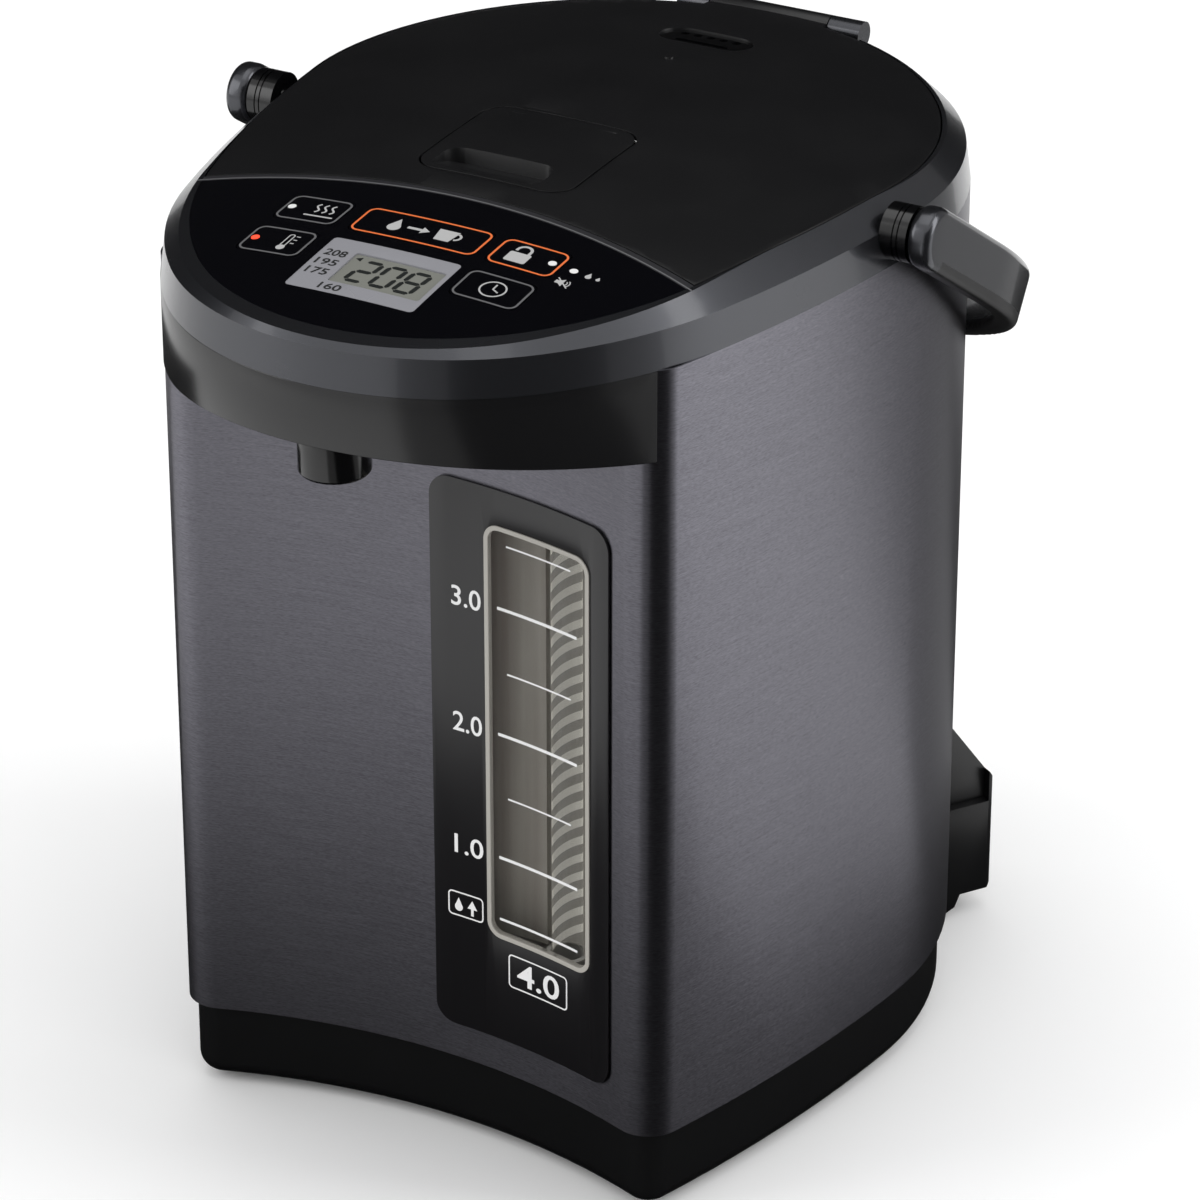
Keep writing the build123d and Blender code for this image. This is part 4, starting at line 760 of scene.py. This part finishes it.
MARKS, MARK_SOCKETS = ruled_marks()
LONG_LEFT, LONG_LENGTH = 23.7, 28.8
SHORT_LEFT, SHORT_LENGTH = 27.0, 23.2
# name: count, lowest level, left end, length, width
LINES = {
    "litre_lines": (3, FIRST_LITRE, LONG_LEFT, LONG_LENGTH, 0.95),
    "half_litre_lines": (3, FIRST_LITRE + LITRE / 2, SHORT_LEFT, SHORT_LENGTH, 0.55),
    "refill_line": (1, REFILL_LEVEL, LONG_LEFT, LONG_LENGTH, 0.8),
}
for name, (count, level, left, length, width) in LINES.items():
    grown(name, MARKS, MARK_SOCKETS, {
        "Count": count, "Pitch": LITRE * MM, "First level": level * MM, "Left": left * MM,
        "Length": length * MM, "Width": width * MM, "Hollow centre": FRONT_CENTRE * MM,
        "Hollow radius": (FRONT_RADIUS - GAUGE_STAND - INK_LIFT) * MM, "Ink": INK_WHITE,
    }, "root", INK_THICKNESS)

# ---------------------------------------------------------------- ink on the back of the gauge tube
TUBE_LOW, TUBE_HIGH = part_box("gauge_tube")
TUBE_X = (TUBE_LOW.x + TUBE_HIGH.x) / 2 / MM
TUBE_Y = (TUBE_LOW.y + TUBE_HIGH.y) / 2 / MM
TUBE_RADIUS = (TUBE_HIGH.x - TUBE_LOW.x) / 2 / MM
STRIPE_PITCH = 5.85
STRIPE_WIDTH = 2.7
STRIPE_RISE = 9.8
STRIPE_LOW = 68.0
STRIPE_COUNT = 24
STRIPE_POINTS = 17
STRIPE_LIFT = 0.1
GROUND_LIFT = 0.22
GROUND_TOP = STRIPE_LOW + STRIPE_COUNT * STRIPE_PITCH + STRIPE_RISE - STRIPE_WIDTH
GROUND_STRIPS = 12


def helical_bars():
    """Tree: bars that climb half way round a tube, repeated up it."""
    tree, sockets, given = start_tree("helical_bars", ("Pitch", "First level", "Rise", "Width",
                                                       "Tube x", "Tube y", "Radius"))
    strip = add(tree, "GeometryNodeMeshGrid", {"Size X": 1.0, "Size Y": given["Width"],
                                               "Vertices X": STRIPE_POINTS, "Vertices Y": 2})
    here = add(tree, "ShaderNodeSeparateXYZ", {0: add(tree, "GeometryNodeInputPosition").outputs[0]})
    along = add(tree, "ShaderNodeMath", {0: here.outputs[0], 1: 0.5}, operation="ADD")
    back = add(tree, "ShaderNodeMath", {0: 1.0, 1: along.outputs[0]}, operation="SUBTRACT")
    angle = add(tree, "ShaderNodeMath", {0: back.outputs[0], 1: math.pi}, operation="MULTIPLY")
    cosine = add(tree, "ShaderNodeMath", {0: angle.outputs[0]}, operation="COSINE")
    sine = add(tree, "ShaderNodeMath", {0: angle.outputs[0]}, operation="SINE")
    x = add(tree, "ShaderNodeMath", {0: cosine.outputs[0], 1: given["Radius"], 2: given["Tube x"]},
            operation="MULTIPLY_ADD")
    y = add(tree, "ShaderNodeMath", {0: sine.outputs[0], 1: given["Radius"], 2: given["Tube y"]},
            operation="MULTIPLY_ADD")
    z = add(tree, "ShaderNodeMath", {0: along.outputs[0], 1: given["Rise"], 2: here.outputs[1]},
            operation="MULTIPLY_ADD")
    wrapped = add(tree, "ShaderNodeCombineXYZ", {"X": x.outputs[0], "Y": y.outputs[0],
                                                 "Z": z.outputs[0]})
    bar = add(tree, "GeometryNodeSetPosition", {"Geometry": strip.outputs[0],
                                                "Position": wrapped.outputs[0]})
    stack_marks(tree, given, bar.outputs[0])
    return tree, sockets


BARS, BAR_SOCKETS = helical_bars()
# The stripes' ink carries a painted glow.
grown("tube_stripes", BARS, BAR_SOCKETS, {
    "Count": STRIPE_COUNT, "Pitch": STRIPE_PITCH * MM, "First level": STRIPE_LOW * MM,
    "Rise": STRIPE_RISE * MM, "Width": STRIPE_WIDTH * MM, "Tube x": TUBE_X * MM,
    "Tube y": TUBE_Y * MM, "Radius": (TUBE_RADIUS + STRIPE_LIFT) * MM, "Ink": TUBE_INK_PAINTED_GLOW,
}, "root", INK_THICKNESS)


def on_tube_back(angle, z, lift):
    """Place in metres on the back half of the tube; the angle is in degrees from +X."""
    reach = TUBE_RADIUS + lift
    turn = math.radians(angle)
    return ((TUBE_X + reach * math.cos(turn)) * MM, (TUBE_Y + reach * math.sin(turn)) * MM, z * MM)


# Grey ground behind the stripes; its ink carries a painted glow.
ground = sheet(0.0, 180.0, STRIPE_LOW, GROUND_TOP, GROUND_STRIPS)
printed("tube_ground", "root", ground, on_tube_back, TUBE_GROUND_PAINTED_GLOW, GROUND_LIFT)

# ---------------------------------------------------------------- numbers and boxes on the gauge
NUMBER_LEFT, NUMBER_WIDTH, NUMBER_HEIGHT = 8.0, 10.0, 6.3
NUMBER_DROP = 3.1
NUMBER_WEIGHT = 0.008
CAPACITY_LEFT, CAPACITY_LOW = 29.8, 60.6
CAPACITY_WIDTH, CAPACITY_HEIGHT = 15.6, 7.6
CAPACITY_WEIGHT = 0.012
# Boxes: middle x and z, width, height.
CAPACITY_BOX = (37.6, 64.4, 21.4, 10.7)
REFILL_BOX = (11.7, 80.8, 11.8, 7.7)
BOX_CORNER, BOX_LINE = 1.2, 0.45
numbers = []
for count, text in enumerate(("1.0", "2.0", "3.0")):
    level = FIRST_LITRE + count * LITRE
    numbers += lettering(text, NUMBER_LEFT, level - NUMBER_DROP, NUMBER_WIDTH, NUMBER_HEIGHT,
                         NUMBER_WEIGHT)
numbers += lettering("4.0", CAPACITY_LEFT, CAPACITY_LOW, CAPACITY_WIDTH, CAPACITY_HEIGHT,
                     CAPACITY_WEIGHT)
printed("gauge_numbers", "root", numbers, on_gauge, INK_WHITE)
boxes = []
for box in (CAPACITY_BOX, REFILL_BOX):
    boxes += band(rounded_loop(*box, BOX_CORNER), BOX_LINE, True)
boxes += drop(9.2, 79.8, 1.35) + up_arrow(13.9, 78.0)
printed("gauge_boxes", "root", boxes, on_gauge, INK_WHITE)

# ---------------------------------------------------------------- camera
CAMERA_AZIMUTH = math.radians(29.28)
CAMERA_PITCH = math.radians(26.9)
CAMERA_PLACE = (722.0, -1295.0, 882.0)
CAMERA_LENS = 165.0
CAMERA_SENSOR = 36.0
camera_data = bpy.data.cameras.new("camera")
camera_data.lens = CAMERA_LENS
camera_data.sensor_width = CAMERA_SENSOR
camera = bpy.data.objects.new("camera", camera_data)
camera.location = Vector(CAMERA_PLACE) * MM
looking = Vector((-math.sin(CAMERA_AZIMUTH) * math.cos(CAMERA_PITCH),
                  math.cos(CAMERA_AZIMUTH) * math.cos(CAMERA_PITCH), -math.sin(CAMERA_PITCH)))
camera.rotation_mode = "QUATERNION"
camera.rotation_quaternion = looking.to_track_quat("-Z", "Y")
scene.collection.objects.link(camera)
scene.camera = camera


# ---------------------------------------------------------------- lamps, cards and floor, in metres
LAMP_TARGET = Vector((0.0, -0.03, 0.16))
# name: azimuth, reach, height, width, depth, power in watts
LAMPS = {
    "key_lamp": (110.0, 1.5, 0.9, 0.7, 1.5, 12.0),
    "fill_lamp": (-48.0, 1.6, 0.9, 0.9, 1.4, 8.0),
    "top_lamp": (0.0, 0.1, 1.9, 1.4, 1.2, 5.0),
}


def around(azimuth, reach, height):
    """Place at an azimuth in degrees from the front towards the right side."""
    angle = math.radians(azimuth)
    return (reach * math.sin(angle), -reach * math.cos(angle), height)


for name, (azimuth, reach, height, width, depth, power) in LAMPS.items():
    lamp_data = bpy.data.lights.new(name, "AREA")
    lamp_data.shape = "RECTANGLE"
    lamp_data.size = width
    lamp_data.size_y = depth
    lamp_data.energy = power
    lamp = bpy.data.objects.new(name, lamp_data)
    lamp.location = around(azimuth, reach, height)
    lamp.rotation_mode = "QUATERNION"
    lamp.rotation_quaternion = (LAMP_TARGET - lamp.location).to_track_quat("-Z", "Y")
    scene.collection.objects.link(lamp)

VELVET = start_material("velvet_black", "#050505", 1.0)[0]
GREY_CARD = start_material("card_grey_matt", "#929292", 1.0)[0]
# Azimuths in degrees: how much of a card one face spans, and the spans of the cards. The last two
# lie round the pot's foot and close its circle.
CARD_STEP = 6.0
CAMERA_SIDE = (26.0, 76.0)
CAMERA_LEFT = (8.0, 26.0)
CAMERA_RIGHT = (76.0, 92.0)
LEFT_BACK = (-197.0, -78.0)
RIGHT_BACK = (127.0, 163.0)
FOOT_REST = (163.0, 448.0)
FOOT_RIGHT = (88.0, 163.0)
# Distances from the middle: a rim under the pot, rims where floor cards end, the upright cards.
FOOT_REACH = 0.02
FOOT_EDGE, FOOT_RIGHT_EDGE, LEFT_EDGE = 0.34, 0.2, 0.62
WALL_REACH = 2.4
WALL_LOW, WALL_MIDDLE, WALL_HIGH = 2.0, 3.0, 4.5
FLOOR_LIFT = 0.002


def standing_rims(height):
    """Lower and upper rim, each (reach, height), of a card that stands on the floor."""
    return (WALL_REACH, 0.0), (WALL_REACH, height)


def lying_rims(near, far):
    """Near and far rim, each (reach, height), of a card that lies on the floor."""
    return (near, FLOOR_LIFT), (far, FLOOR_LIFT)


# name: span, rims, cover
CARDS = {
    "flag_camera_side": (CAMERA_SIDE, standing_rims(WALL_LOW), VELVET),
    "card_camera_left": (CAMERA_LEFT, standing_rims(WALL_LOW), GREY_CARD),
    "card_camera_right": (CAMERA_RIGHT, standing_rims(WALL_LOW), GREY_CARD),
    "flag_left_back": (LEFT_BACK, standing_rims(WALL_HIGH), VELVET),
    "card_right_back": (RIGHT_BACK, standing_rims(WALL_MIDDLE), GREY_CARD),
    "flag_floor_right": (CAMERA_SIDE, lying_rims(FOOT_EDGE, WALL_REACH), VELVET),
    "card_floor_camera_left": (CAMERA_LEFT, lying_rims(FOOT_EDGE, WALL_REACH), GREY_CARD),
    "card_floor_camera_right": (CAMERA_RIGHT, lying_rims(FOOT_EDGE, WALL_REACH), GREY_CARD),
    "flag_floor_left": (LEFT_BACK, lying_rims(FOOT_EDGE, LEFT_EDGE), VELVET),
    "card_floor_right_back": (RIGHT_BACK, lying_rims(FOOT_RIGHT_EDGE, WALL_REACH), GREY_CARD),
    "flag_floor_near": (FOOT_REST, lying_rims(FOOT_REACH, FOOT_EDGE), VELVET),
    "flag_floor_near_right": (FOOT_RIGHT, lying_rims(FOOT_REACH, FOOT_RIGHT_EDGE), VELVET),
}


def studio_card(name, span, rims, cover):
    """Curved card, seen only in reflections, so that dark plastic and steel stay dark."""
    first, last = span
    count = max(2, round(abs(last - first) / CARD_STEP))
    edge = [first + (last - first) * step / count for step in range(count + 1)]
    points = [around(azimuth, reach, height) for azimuth in edge for reach, height in rims]
    faces = [(2 * i, 2 * i + 2, 2 * i + 3, 2 * i + 1) for i in range(count)]
    mesh = bpy.data.meshes.new(name)
    mesh.from_pydata(points, [], faces)
    card = bpy.data.objects.new(name, mesh)
    scene.collection.objects.link(card)
    set_material(card, cover)
    card.visible_camera = False
    card.visible_diffuse = False
    card.visible_shadow = False
    card.visible_transmission = False


for name, (span, rims, cover) in CARDS.items():
    studio_card(name, span, rims, cover)

# The studio lights matt surfaces a little less than it shows in the camera and in reflections.
WORLD_LIGHT = 0.88
FLOOR_SIZE = 8.0
world = bpy.data.worlds.new("studio")
scene.world = world
world.use_nodes = True
sky = world.node_tree
background = sky.nodes["Background"]
background.inputs["Color"].default_value = linear("#ffffff")
rays = add(sky, "ShaderNodeLightPath").outputs
seen = add(sky, "ShaderNodeMath", {0: rays["Is Camera Ray"], 1: rays["Is Glossy Ray"]},
           operation="MAXIMUM")
shown = add(sky, "ShaderNodeMath", {0: seen.outputs[0], 1: rays["Is Transmission Ray"]},
            operation="MAXIMUM")
level = add(sky, "ShaderNodeMapRange", {"Value": shown.outputs[0], "To Min": WORLD_LIGHT,
                                        "To Max": 1.0})
sky.links.new(level.outputs[0], background.inputs["Strength"])

bpy.ops.mesh.primitive_plane_add(size=FLOOR_SIZE, location=(0, 0, 0))
floor = bpy.context.object
floor.name = "floor"
# Sized white paper: matt, with only a trace of fibre.
PAPER = moulded("paper_white_matt", "#fbfbfb", 0.9, 2.0, 0.01)
set_material(floor, PAPER)

scene.view_settings.view_transform = "Standard"
